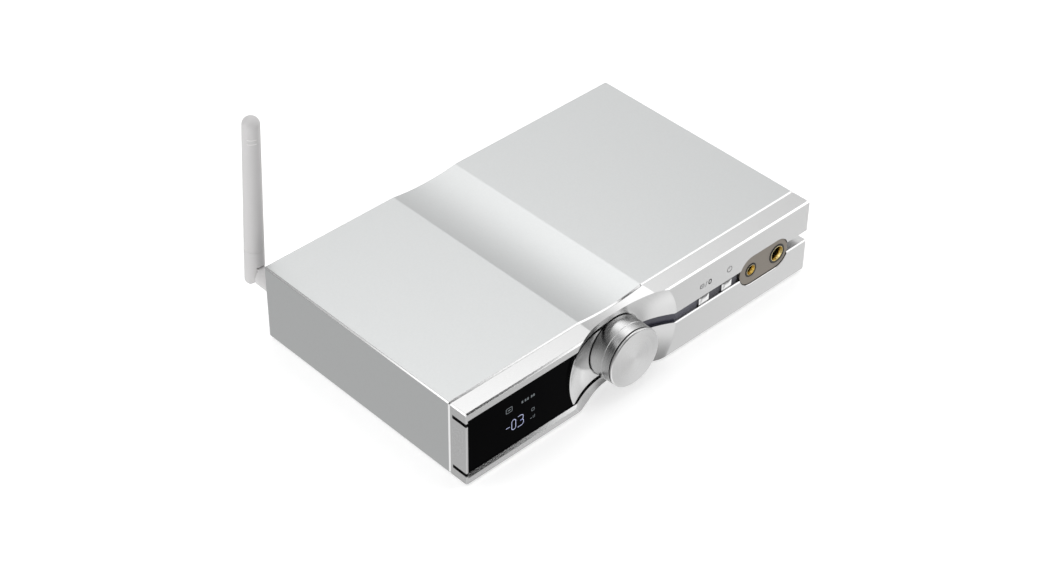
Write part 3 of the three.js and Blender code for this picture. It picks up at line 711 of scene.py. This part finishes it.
def fascia_blank():
    """The plate before milling: its top and bottom front edges carry a wide chamfer."""
    loop = casing_loop()
    deep, high = 0.9, 0.6

    def squeezed(side, rise):
        made = []
        for x, z in loop:
            nearer = min(max(x, side), CASE_W - side)
            share = (z - MID_Z) / MID_Z
            made.append((nearer, z - math.copysign(rise, share) * min(1.0, abs(share) ** 6)))
        return made

    bm = bmesh.new()
    rings = [
        ring(bm, squeezed(0.18, high), 0.0),
        ring(bm, squeezed(0.05, high - 0.05), 0.06),
        ring(bm, squeezed(0.0, 0.04), deep - 0.06),
        ring(bm, loop, deep + 0.06),
        ring(bm, loop, FASCIA_D - 0.12),
        ring(bm, shrink(loop, 0.12), FASCIA_D),
    ]
    return loft(bm, rings)


def fascia():
    far, through = 6.0, 16.0
    slits = []
    for side in (-1, 1):
        z = MID_Z + side * SLIT_Z
        slits.append(block(-far, KNOB.x, -far, FLOOR_Y, z - SLIT_HALF, z + SLIT_HALF))
    slot = rectangle(KNOB.x, CASE_W + far, MID_Z - SLOT_HALF, MID_Z + SLOT_HALF)
    seat = stadium(PILL.x, PILL.z, PILL_W + 0.6, PILL_H + 0.6)
    tools = [
        window_tool(KNOB.x - DISH_R * 0.72),
        *slits,
        flared(slot, FLOOR_Y, 0.5),
        flared(seat, PILL_HIGH.y + 0.1, 0.1),
        dish_tool(),
    ]
    for name in ("jack_4mm_body", "jack_6mm_body"):
        low, high = span(name)
        hole = rod((high.x - low.x) / 2 + 0.1, 0.5, through)
        tools.append(lathe(hole, middle(name).x, MID_Z, 64))
    tools.append(lathe(rod(ENCODER_HOLE_R, 1, through), KNOB.x, KNOB.z, 64))
    made = cut(fascia_blank(), *tools)
    for face in made.faces:
        centre = face.calc_center_median()
        radius = math.hypot(centre.x - KNOB.x, centre.z - KNOB.z)
        turned = POCKET_R + 0.05 < radius < DISH_R - 0.05 and 0.05 < centre.y < DISH_DEEP + 0.02
        if turned and -0.9999 < face.normal.y < -0.6:
            face.material_index = 1
        elif centre.y < 1.0 and -0.9 < face.normal.y < -0.4:
            face.material_index = 2
        elif radius > DISH_R and min(abs(face.normal.x), abs(face.normal.z)) > 0.55:
            face.material_index = 2
    fixed("milled_fascia", made, (FASCIA, DISH, CUT), "fascia", "fascia", sharp=24)


def stroke(points, width, closed=False):
    """The outlines of a line of a given width through the points: one loop, or two when it closes."""
    half = width / 2
    if closed:
        turned = counterclockwise(points)
        return [shrink(turned, -half), shrink(turned, half)]
    left, right = [], []
    for i, point in enumerate(points):
        here = Vector(point)
        before = here - Vector(points[i - 1]) if i else Vector(points[1]) - here
        after = Vector(points[i + 1]) - here if i + 1 < len(points) else before
        n1 = Vector((-before.y, before.x)).normalized()
        n2 = Vector((-after.y, after.x)).normalized()
        side = (n1 + n2) * (half / (1 + n1.dot(n2)))
        left.append(tuple(here + side))
        right.append(tuple(here - side))
    return [right + left[::-1]]


def marks(name, outlines, material, slot, y):
    """Flat printed or lit marks that stand a hair proud of a surface at y."""
    thin = [prism(loops, y - 0.02, y + 0.03) for loops in outlines]
    fixed(name, merged(*thin), material, slot)


DIGIT_Z = 16.4  # middle of the display's digits
STATUS_Z = 26.2  # middle of its upper row of small marks


def display():
    """The lens, and generic lit characters on it."""
    loop = window_loop(KNOB.x - DISH_R * 0.87)
    bm = prism([loop], GLASS_Y, GLASS_BACK)
    fixed("display_lens", bm, GLASS, "display", "display_window")
    z = DIGIT_Z
    upper = rounded([(30.9, z + 2.9), (34.0, z + 2.9, 1.3), (34.0, z, 1.0), (32.3, z)], 6, False)
    lower = rounded([(32.3, z), (34.2, z, 1.0), (34.2, z - 3.0, 1.4), (30.8, z - 3.0)], 6, False)
    digits = [
        stroke([(23.9, z), (26.1, z)], 0.3),
        stroke(soft_rectangle(28.5, z, 2.3, 5.5, 1.1), 0.32, True),
        stroke(upper, 0.32),
        stroke(lower, 0.32),
    ]
    marks("display_digits", digits, GLOW, "display", GLASS_Y)
    small = [
        stroke(soft_rectangle(39.7, 18.3, 1.5, 1.5, 0.3), 0.3, True),
        stroke([(38.2, 13.7), (39.2, 13.7)], 0.35),
        stroke([(39.9, 13.2), (39.9, 14.5)], 0.3),
        stroke([(40.7, 13.2), (40.7, 14.9)], 0.3),
    ]
    z = STATUS_Z
    small += [stroke([(x, z), (x + 0.9, z)], 1.3) for x in (33.0, 34.8, 36.2, 38.4, 39.7)]
    marks("display_small_marks", small, GLOW_DIM, "display", GLASS_Y)
    source = [
        stroke(soft_rectangle(25.8, z, 3.4, 2.6, 0.5), 0.35, True),
        stroke([(25.0, z), (26.6, z)], 0.5),
    ]
    marks("display_source_mark", source, GLOW_DIM, "display", GLASS_Y)


def icons():
    """The input button's mark and the power button's mark above the slot."""
    z = MID_Z + 9.2
    power_x = middle("power_button").x + 0.5
    ring_points = arc(power_x, z, 1.5, 120, 420, 30)
    shapes = [
        stroke(ring_points, 0.3),
        stroke([(power_x, z + 0.3), (power_x, z + 1.9)], 0.3),
    ]
    left = middle("input_button").x - 2.6
    shapes += [
        stroke(soft_rectangle(left, z, 2.4, 1.9, 0.4), 0.3, True),
        stroke([(left - 0.6, z), (left + 0.7, z)], 0.3),
        stroke([(left + 2.2, z - 1.5), (left + 3.2, z + 1.5)], 0.26),
        stroke(soft_rectangle(left + 5.2, z, 1.5, 2.3, 0.7), 0.55, True),
    ]
    marks("fascia_icons", shapes, PRINT, "black_plastic", 0.0)


def milled_strip(node, back):
    """A block of the CAD node's size, cut by the dish set back by a distance."""
    low, high = span(node)
    blank = block(low.x, high.x, low.y, high.y, low.z, high.z)
    return cut(blank, dish_tool(back, FASCIA_D + 5, 128, 16))


def strips():
    """The strips at the bottom of the slits and of the slot, with painted shade and light in their
    colour: near-black in the slits, lighter beside the knob, darker further along the slot.
    """
    for side in ("upper", "lower"):
        node = f"{side}_slit_strip"
        # The slits' strips carry painted shade: near-black and without reflection.
        fixed(f"{side}_slit_bottom", milled_strip(node, 1.3), SLIT_PAINTED_SHADE, "smoked_strip", node)
    for part in ("left", "middle", "right"):
        made = milled_strip(f"slot_strip_{part}", STRIP_Y)
        # Beside the knob the lighter copy (painted light), further along the darker copy (painted
        # shade).
        dark = SMOKED if part == "left" else SMOKED_PAINTED_SHADE
        fixed(f"slot_bottom_{part}", made, dark, "smoked_strip", f"slot_strip_{part}")


# ------------------------------------------------------------------ knob
def knob():
    """The front disc, and behind a turned groove the barrel, hollow at its back."""
    face, back = span("knob_cap")[0].y, span("knob_body")[1].y
    groove = span("knob_cap")[1].y
    x, z = KNOB.x, KNOB.z
    front = [(0, face), (CAP_R - 0.45, face, 0.2), (CAP_R, face + 0.4, 0.15)]
    front += [(CAP_R, groove, 0.1), (0, groove)]
    disc = lathe(rounded(front, 4, False), x, z, 192)
    # The front disc wears the lighter copy of the knob's metal: painted light.
    piece("knob_front", disc, KNOB_FACE_PAINTED_LIGHT, "knob", "knob", "knob_cap")
    front_r, groove_r = KNOB_R - 0.15, KNOB_R - 2.4
    body = [(0, groove + 0.3), (groove_r, groove + 0.3), (groove_r, groove + 0.65)]
    body += [(front_r, groove + 0.65, 0.12), (front_r, -0.7, 0.06), (KNOB_R, -0.45, 0.08)]
    body += [(KNOB_R, back, 0.3), (11, back), (11, 2.4), (3.1, 2.4), (3.1, -2), (0, -2)]
    barrel = lathe(rounded(body, 4, False), x, z, 192)
    piece("knob_barrel", barrel, KNOB_SIDE, "knob", "knob", "knob_body")


# ------------------------------------------------------------------ buttons
def button(name):
    """A push button whose face is crowned from its top edge to its bottom edge."""
    node = f"{name}_button"
    low, high = span(node)
    x, z = middle(node).x, middle(node).z
    width, height = high.x - low.x + 0.2, high.z - low.z + 0.3
    corner, edge, crown = 1.1, 0.2, 0.3
    bm = bmesh.new()
    rings = []
    for inset in (2.3, 1.9, 1.5, 1.1, 0.8, 0.5, 0.2, 0.12, 0.05, 0.0):
        w, h = width - 2 * inset, height - 2 * inset
        loop = soft_rectangle(x, z, w, h, max(corner - inset, 0.05), 5)
        short = max(0.0, edge - inset)
        roll = edge - math.sqrt(edge**2 - short**2)
        rings.append([])
        for px, pz in loop:
            y = low.y + roll + crown * (2 * (pz - z) / height) ** 2
            rings[-1].append(bm.verts.new((px, y, pz)))
    rings.append(ring(bm, soft_rectangle(x, z, width, height, corner, 5), 5.0))
    stem = block(x - 1.5, x + 1.5, 4.8, high.y, z - 1.2, z + 1.2, 0.15)
    piece(f"{name}_key", merged(loft(bm, rings), stem), BUTTON, node, "button", node)


# ------------------------------------------------------------------ jacks
# Radii of each jack's gilded liner: outside, at its mouth and in its bore.
JACKS = {"jack_4mm": (2.75, 2.5, 2.25), "jack_6mm": (4.0, 3.7, 3.3)}


def front_jacks():
    holes = [circle(middle(f"{name}_ring").x, MID_Z, hole_radius(name), 72) for name in JACKS]
    outline = stadium(PILL.x, PILL.z, PILL_W, PILL_H)
    plate = prism([outline, *holes], PILL_LOW.y, PILL_HIGH.y, front=0.18)
    fixed("jack_surround", plate, BRONZE, "bronze", "jack_plate")
    for name, (outside, mouth, bore) in JACKS.items():
        low, high = span(f"{name}_ring")
        x, front, back, radius = middle(f"{name}_ring").x, low.y, high.y, (high.x - low.x) / 2
        rim = [(outside, front + 0.3), (outside + 0.12, front + 0.08), (radius - 0.18, front)]
        rim += [(radius, front + 0.18), (radius, back), (outside, back)]
        liner = [(outside, front + 0.3), (outside - 0.08, front + 0.2), (mouth, front + 0.22)]
        liner += [(bore + 0.1, front + 1.1), (bore, front + 1.3), (bore, back), (outside, back)]
        bezel = lathe(rim, x, MID_Z, 96, closed=True)
        gilt = lathe(liner, x, MID_Z, 96, closed=True)
        fixed(f"{name}_bezel", bezel, BLACK, "black_plastic")
        fixed(f"{name}_liner", gilt, GOLD, "gold", f"{name}_ring")


def hole_radius(name):
    """Radius of the hole for a jack's ring."""
    low, high = span(f"{name}_ring")
    return (high.x - low.x) / 2 + 0.1


# ------------------------------------------------------------------ rear
PANEL_LOW, PANEL_HIGH = span("rear_panel")
PANEL_FACE = PANEL_HIGH.y
RCAS = ("coax_socket", "rca_left", "rca_right")
XLRS = ("xlr_left", "xlr_right")


def rear_panel():
    holes = [circle(middle(name).x, MID_Z, 5.1) for name in RCAS]
    holes += [circle(middle(name).x, MID_Z, 10.0, 72) for name in XLRS]
    screws = [middle(f"rear_screw_{i}") for i in range(1, 5)]
    holes += [circle(at.x, at.z, 1.35, 24) for at in screws]
    usb = middle("usb_socket")
    aerial = middle("antenna_socket")
    holes.append(circle(middle("dc_inlet").x, MID_Z, 4.7))
    holes.append(rectangle(usb.x - 6.1, usb.x + 6.1, MID_Z - 5.55, MID_Z + 5.55))
    holes.append(circle(aerial.x, aerial.z, 3.2))
    edge = rectangle(PANEL_LOW.x, PANEL_HIGH.x, PANEL_LOW.z, PANEL_HIGH.z)
    plate = prism([edge, *holes], PANEL_LOW.y, PANEL_FACE, back=0.15, steps=2)
    fixed("rear_plate", plate, PANEL, "rear_panel", "rear_panel")
    for i in range(1, 5):
        low, high = span(f"rear_screw_{i}")
        x, z = (low.x + high.x) / 2, (low.z + high.z) / 2
        radius, back = (high.x - low.x) / 2, high.y
        profile = [(0, back - 9), (1.2, back - 9), (1.2, back - 1.1), (radius, back - 1.1)]
        profile += [(radius, back - 0.45), (radius - 0.25, back - 0.1)]
        profile += [(radius - 0.7, back), (0, back)]
        head = lathe(profile, x, z, 48)
        socket = lathe(rod(1.0, back - 0.8, back + 1), x, z, 6)
        fixed(f"rear_screw_head_{i}", cut(head, socket), STEEL, "steel", f"rear_screw_{i}")


def power_and_usb():
    low, high = span("dc_inlet")
    x = middle("dc_inlet").x
    start, end = low.y, high.y
    base = block(low.x, high.x, start, PANEL_LOW.y - 0.1, low.z, high.z, 0.3)
    neck = [(0, start + 3), (4.6, start + 3), (4.6, end - 0.2), (4.4, end), (0, end)]
    bore = [(0, start + 2), (3.2, start + 2), (3.2, end - 0.25), (3.5, end + 0.1), (0, end + 0.1)]
    inlet = cut(join(base, lathe(neck, x, MID_Z, 64)), lathe(bore, x, MID_Z, 64))
    fixed("power_inlet", inlet, BLACK, "black_plastic", "dc_inlet")
    tip = end - 1.5
    pin = [(0, start + 1), (1.05, start + 1), (1.05, tip - 0.5), (0.7, tip), (0, tip)]
    fixed("power_inlet_pin", lathe(pin, x, MID_Z, 32), TIN, "tinned")
    low, high = span("usb_socket")
    x, half = middle("usb_socket").x, 3.95
    top = MID_Z + half
    cavity = [(x - 4.3, MID_Z - half), (x + 4.3, MID_Z - half), (x + 4.3, top - 1.6)]
    cavity += [(x + 2.7, top), (x - 2.7, top), (x - 4.3, top - 1.6)]
    shell = soft_rectangle(x, MID_Z, high.x - low.x, high.z - low.z, 0.6)
    floor = low.y + 4
    outside = prism([shell, cavity], floor, high.y, back=0.15, steps=2)
    inner = block(low.x, high.x, low.y, floor + 0.1, low.z, high.z, 0.3)
    fixed("usb_shell", merged(outside, inner), TIN, "tinned", "usb_socket")
    tongue = block(x - 2.8, x + 2.8, floor, high.y - 1.2, MID_Z - 1.6, MID_Z + 1.6, 0.25)
    fixed("usb_tongue", tongue, BLACK, "black_plastic")
    contacts = [
        block(x + dx - 0.5, x + dx + 0.5, floor, high.y - 1.6, z - 0.06, z + 0.06)
        for dx in (-1.3, 1.3)
        for z in (MID_Z - 1.62, MID_Z + 1.62)
    ]
    fixed("usb_contacts", merged(*contacts), GOLD, "gold")


def phono_sockets():
    for name in RCAS:
        low, high = span(name)
        x, end = middle(name).x, high.y
        base = block(low.x, high.x, low.y, PANEL_LOW.y - 0.1, low.z, high.z, 0.4)
        fixed(f"{name}_base", base, BLACK, "black_plastic")
        inside = PANEL_LOW.y
        barrel = [(3.55, inside - 2), (5.0, inside - 2), (5.0, PANEL_FACE + 0.9)]
        barrel += [(4.8, PANEL_FACE + 1.2), (4.15, PANEL_FACE + 1.2), (4.15, end - 0.5)]
        barrel += [(3.95, end - 0.1), (3.7, end), (3.55, end - 0.15)]
        fixed(f"{name}_barrel", lathe(barrel, x, MID_Z, 72, closed=True), GOLD, "gold", name)
        core = [(0, inside - 1), (3.55, inside - 1), (3.55, end - 0.6), (2.1, end - 0.5)]
        core += [(2.1, inside), (0, inside)]
        fixed(f"{name}_insulator", lathe(core, x, MID_Z, 64), BLACK, "black_plastic")
        contact = [(1.65, inside), (2.1, inside), (2.1, end - 1.0), (1.65, end - 0.9)]
        fixed(f"{name}_contact", lathe(contact, x, MID_Z, 48, closed=True), GOLD, "gold")


def balanced_sockets():
    for name in XLRS:
        low, high = span(name)
        x, back, flange = middle(name).x, high.y, (high.x - low.x) / 2
        floor = PANEL_LOW.y - 13
        shell = [(0, floor - 2), (9.9, floor - 2), (9.9, PANEL_FACE + 0.1)]
        shell += [(flange, PANEL_FACE + 0.1), (flange, back - 0.35), (flange - 0.35, back)]
        shell += [(8.5, back), (8.5, floor), (0, floor)]
        fixed(f"{name}_shell", lathe(shell, x, MID_Z, 96), BLACK, "black_plastic", name)
        liner = [(7.9, floor), (8.5, floor), (8.5, back - 0.3), (8.2, back - 0.05), (7.9, back - 0.3)]
        fixed(f"{name}_liner", lathe(liner, x, MID_Z, 96, closed=True), TIN, "tinned")
        pins = []
        pin = [(0, floor), (1.2, floor), (1.2, back - 3.3), (0.8, back - 2.6), (0, back - 2.5)]
        for degrees in (30, 150, 270):
            a = math.radians(degrees)
            pins.append(lathe(pin, x + 4 * math.cos(a), MID_Z + 4 * math.sin(a), 24))
        fixed(f"{name}_pins", merged(*pins), TIN, "tinned")
        screws = []
        head = [(0, back - 0.6), (0.9, back - 0.6), (0.9, back - 0.1), (0.7, back), (0, back)]
        for side in (-1, 1):
            offset = side * 9.7 / math.sqrt(2)
            screws.append(lathe(head, x + offset, MID_Z + offset, 32))
        fixed(f"{name}_screws", merged(*screws), STEEL, "steel")


UPRIGHT = Matrix.Rotation(math.radians(90), 4, "X")


def feet():
    for i in range(1, 5):
        low, high = span(f"foot_{i}")
        radius, thick = (high.x - low.x) / 2, high.z - low.z
        outline = [(0, 0.15), (radius - 2.2, 0.15), (radius - 1.9, 0), (radius, 0, 0.35)]
        outline += [(radius, thick, 0.1), (0, thick)]
        centre = middle(f"foot_{i}")
        place = DEVICE @ Matrix.Translation((centre.x, centre.y, low.z)) @ UPRIGHT
        made = lathe(rounded(outline, 4, False), count=64)
        fixed(f"rubber_foot_{i}", made, RUBBER, "rubber", f"foot_{i}", place=place)


# ------------------------------------------------------------------ antenna
FOLD = next(j for j in frame["record"]["behaviour"]["joints"] if j["name"] == "antenna_fold")
PIVOT = (Vector(FOLD["pos_m"]) - CORNER) / MM
LEAN = math.atan2(FOLD["axis"][2], -FOLD["axis"][0])
ANTENNA_FRAME = DEVICE @ Matrix.Translation(PIVOT) @ Matrix.Rotation(LEAN, 4, "Y")
ALONG_X = Matrix.Rotation(math.radians(-90), 4, "Z")
KNUCKLE_R = 4.7
KNUCKLE_TOP = 13.0
ANTENNA_LENGTH = 83.0
WHIP_R = 4.65
WHIP_TIP_R = 4.1


def turned_up(profile):
    """A turned solid about the antenna's own length: the profile is (radius, height) points."""
    made = lathe(profile, count=72)
    made.transform(UPRIGHT)
    return made


def across(radius, reach):
    """A rod through the antenna's folding joint."""
    made = lathe(rod(radius, -reach, reach), count=64)
    made.transform(ALONG_X)
    return made


def antenna_piece(name, bm, material, body, *nodes):
    piece(name, bm, material, body, "antenna", *nodes, place=ANTENNA_FRAME)


def antenna_mount():
    """The threaded socket on the rear panel and the swivelling barrel with its tongue."""
    low, high = span("antenna_socket")
    x, z, radius = middle("antenna_socket").x, middle("antenna_socket").z, (high.x - low.x) / 2
    profile = [(0, low.y), (radius - 0.6, low.y), (radius - 0.6, PANEL_LOW.y), (radius, PANEL_LOW.y)]
    y = PANEL_FACE + 0.3
    while y < high.y - 0.5:
        profile += [(radius, y), (radius - 0.28, y + 0.25)]
        y += 0.5
    profile += [(radius - 0.3, high.y), (0, high.y)]
    fixed("antenna_thread", lathe(profile, x, z, 48), GOLD, "gold", "antenna_socket")
    start = span("antenna_barrel")[0].y - PIVOT.y
    end = -KNUCKLE_R - 0.45
    bottom = high.y + 0.5 - PIVOT.y
    sleeve = [(radius + 0.1, start), (4.2, start, 0.25), (4.2, end, 0.5), (0, end)]
    sleeve = rounded([*sleeve, (0, bottom), (radius + 0.1, bottom)], 4)
    half = 1.75
    tongue = block(-half, half, end - 0.6, 0, -4, 4)
    barrel = join(lathe(sleeve, count=72, closed=True), tongue, across(4.0, half))
    antenna_piece("antenna_swivel_barrel", barrel, ANTENNA, "antenna_base", "antenna_barrel")


def rib(radius, height, start, end, proud=0.14, half=0.3, count=16):
    """A short raised bar round part of the antenna, between two angles seen from above."""
    bm = bmesh.new()
    rows = []
    for i in range(count + 1):
        a = math.radians(start + (end - start) * i / count)
        out = Vector((math.cos(a), math.sin(a), 0))
        outline = [(radius - 0.3, -half), (radius + proud, -half + 0.1), (radius + proud, half - 0.1)]
        outline.append((radius - 0.3, half))
        rows.append([bm.verts.new(out * r + Vector((0, 0, height + h))) for r, h in outline])
    for first, second in zip(rows, rows[1:]):
        wall(bm, first, second)
    bm.faces.new(rows[0])
    bm.faces.new(rows[-1])
    return seal(bm)


def antenna_arm():
    """The forked knuckle, the tapering whip and its two short ribs."""
    outline = [(0, -KNUCKLE_R), (KNUCKLE_R, -KNUCKLE_R, 0.9)]
    outline += [(KNUCKLE_R, KNUCKLE_TOP, 0.06), (0, KNUCKLE_TOP)]
    knuckle = turned_up(rounded(outline, 4, False))
    end = join(across(KNUCKLE_R, 6), block(-6, 6, -6, 6, 0, KNUCKLE_TOP + 1))
    slot = block(-1.9, 1.9, -9, 9, -9, 5)
    made = cut(boolean(knuckle, "INTERSECT", end), slot)
    antenna_piece("antenna_fork", made, ANTENNA, "antenna_arm", "antenna_knuckle")
    bottom, tip = KNUCKLE_TOP + 0.04, ANTENNA_LENGTH
    low_r, top_r = WHIP_R, WHIP_TIP_R
    shoulder = tip - top_r
    profile = [(0, bottom), (low_r - 0.06, bottom), (low_r, bottom + 0.06)]
    profile += arc(0, shoulder, top_r, 0, 90, 10)
    profile[-1] = (0, tip)
    antenna_piece("antenna_rod", turned_up(profile), ANTENNA, "antenna_arm", "antenna_whip")
    ribs = []
    for height in (71.0, 73.1):
        radius = low_r + (top_r - low_r) * (height - bottom) / (shoulder - bottom)
        ribs.append(rib(radius, height, -154, -94))
    # The ribs wear the lighter copy of the antenna plastic: painted highlight.
    antenna_piece("antenna_ribs", merged(*ribs), RIB, "antenna_arm")


# ------------------------------------------------------------------ stage, lights, camera
# The camera: focal length in millimetres, place in metres, azimuth, elevation and roll.
LENS = 77.80
CAMERA_PLACE = (-0.56325, -0.58314, 0.67187)
CAMERA_TURN = (-43.78, 39.35, 0.59)


def camera():
    data = bpy.data.cameras.new("camera")
    data.lens = LENS
    data.sensor_width = 36.0
    obj = bpy.data.objects.new("camera", data)
    bpy.context.scene.collection.objects.link(obj)
    azimuth, elevation, roll = CAMERA_TURN
    back = direction(180 - azimuth, elevation)
    turn = back.to_track_quat("Z", "Y").to_matrix().to_4x4()
    turn = turn @ Matrix.Rotation(math.radians(roll), 4, "Z")
    obj.matrix_world = Matrix.Translation(CAMERA_PLACE) @ turn
    bpy.context.scene.camera = obj


def direction(azimuth, elevation):
    """A unit vector: azimuth 0 is +Y, 90 is +X."""
    a, e = math.radians(azimuth), math.radians(elevation)
    return Vector((math.sin(a) * math.cos(e), math.cos(a) * math.cos(e), math.sin(e)))


# Each soft light of the studio, or black card where its strength is negative:
# azimuth, elevation, radius of its full part, radius of its edge, strength.
STUDIO = [
    (35, 55, 10, 20, 1.1),
    (60, 40, 5, 70, 0.7),
    (45, 35, 3, 12, 0.2),
    (118, 28, 21, 23, 1.4),
    (154, 40, 3, 9, 1.3),
    (-57, 30, 5, 9, 1.0),
    (120, -38, 8, 14, 0.5),
    (85, -40, 12, 25, 0.35),
    (200, -45, 16, 40, 0.5),
    (120, -80, 15, 40, 0.25),
    (-85, 38, 20, 45, 1.1),
    (182, -4, 10, 26, -0.25),
    (140, -24, 5, 12, -0.5),
    (132, 53, 4, 6, -0.4),
    (148, 33, 2, 6, -0.8),
    (-130, 78, 12, 42, 0.7),
    (200, 20, 8, 36, 0.22),
]
AMBIENT = 0.04  # the dark room above the horizon
TABLE = 0.65  # the lit table below it, as metal sees it
TABLE_GLOW = 0.52  # the same table, as the camera sees it


def world():
    """A studio of soft lights, seen in reflections; the camera itself sees plain white."""
    made = bpy.data.worlds.new("studio")
    bpy.context.scene.world = made
    made.use_nodes = True
    tree = made.node_tree
    nodes = Nodes(tree)
    ray = nodes.add("TexCoord").outputs["Generated"]
    height = nodes.add("SeparateXYZ", {0: ray}).outputs["Z"]
    total = nodes.between(height, AMBIENT, TABLE, 0.03, -0.08)
    for azimuth, elevation, full, edge, strength in STUDIO:
        both = {0: ray, 1: direction(azimuth, elevation)}
        toward = nodes.add("VectorMath", both, operation="DOT_PRODUCT").outputs["Value"]
        inputs = {
            "Value": toward,
            "From Min": math.cos(math.radians(edge)),
            "From Max": math.cos(math.radians(full)),
            "To Max": strength,
        }
        lobe = nodes.add("MapRange", inputs, interpolation_type="SMOOTHERSTEP").outputs[0]
        total = nodes.math("ADD", total, lobe)
    total = nodes.math("MAXIMUM", total, 0.0)
    seen = nodes.add("LightPath").outputs["Is Camera Ray"]
    strength = nodes.add("Mix", {"Factor": seen, "A": total, "B": 1.0}).outputs[0]
    tree.nodes["Background"].inputs["Color"].default_value = (1, 1, 1, 1)
    tree.links.new(strength, tree.nodes["Background"].inputs["Strength"])


def stage():
    """A wide pale floor, left out of reflections: the world's lower half stands in for it there."""
    bm = bmesh.new()
    bmesh.ops.create_grid(bm, x_segments=1, y_segments=1, size=6)
    mesh = bpy.data.meshes.new("floor")
    bm.to_mesh(mesh)
    bm.free()
    floor = bpy.data.objects.new("floor", mesh)
    bpy.context.scene.collection.objects.link(floor)
    made, nodes, shader = material("lit_table", Roughness=0.9, Emission_Strength=TABLE_GLOW)
    shade = nodes.noise(3.0, 2.0)
    tint = nodes.tint(shade, (0.86, 0.86, 0.86), (0.88, 0.88, 0.88))
    link(nodes, shader, Base_Color=tint, Emission_Color=tint)
    mesh.materials.append(made)
    floor.visible_glossy = False


def main():
    bpy.context.scene.view_settings.view_transform = "Standard"
    camera()
    world()
    stage()
    dress_frame()
    casing_sleeve()
    fascia()
    display()
    icons()
    strips()
    knob()
    button("input")
    button("power")
    front_jacks()
    rear_panel()
    power_and_usb()
    phono_sockets()
    balanced_sockets()
    feet()
    antenna_mount()
    antenna_arm()


main()
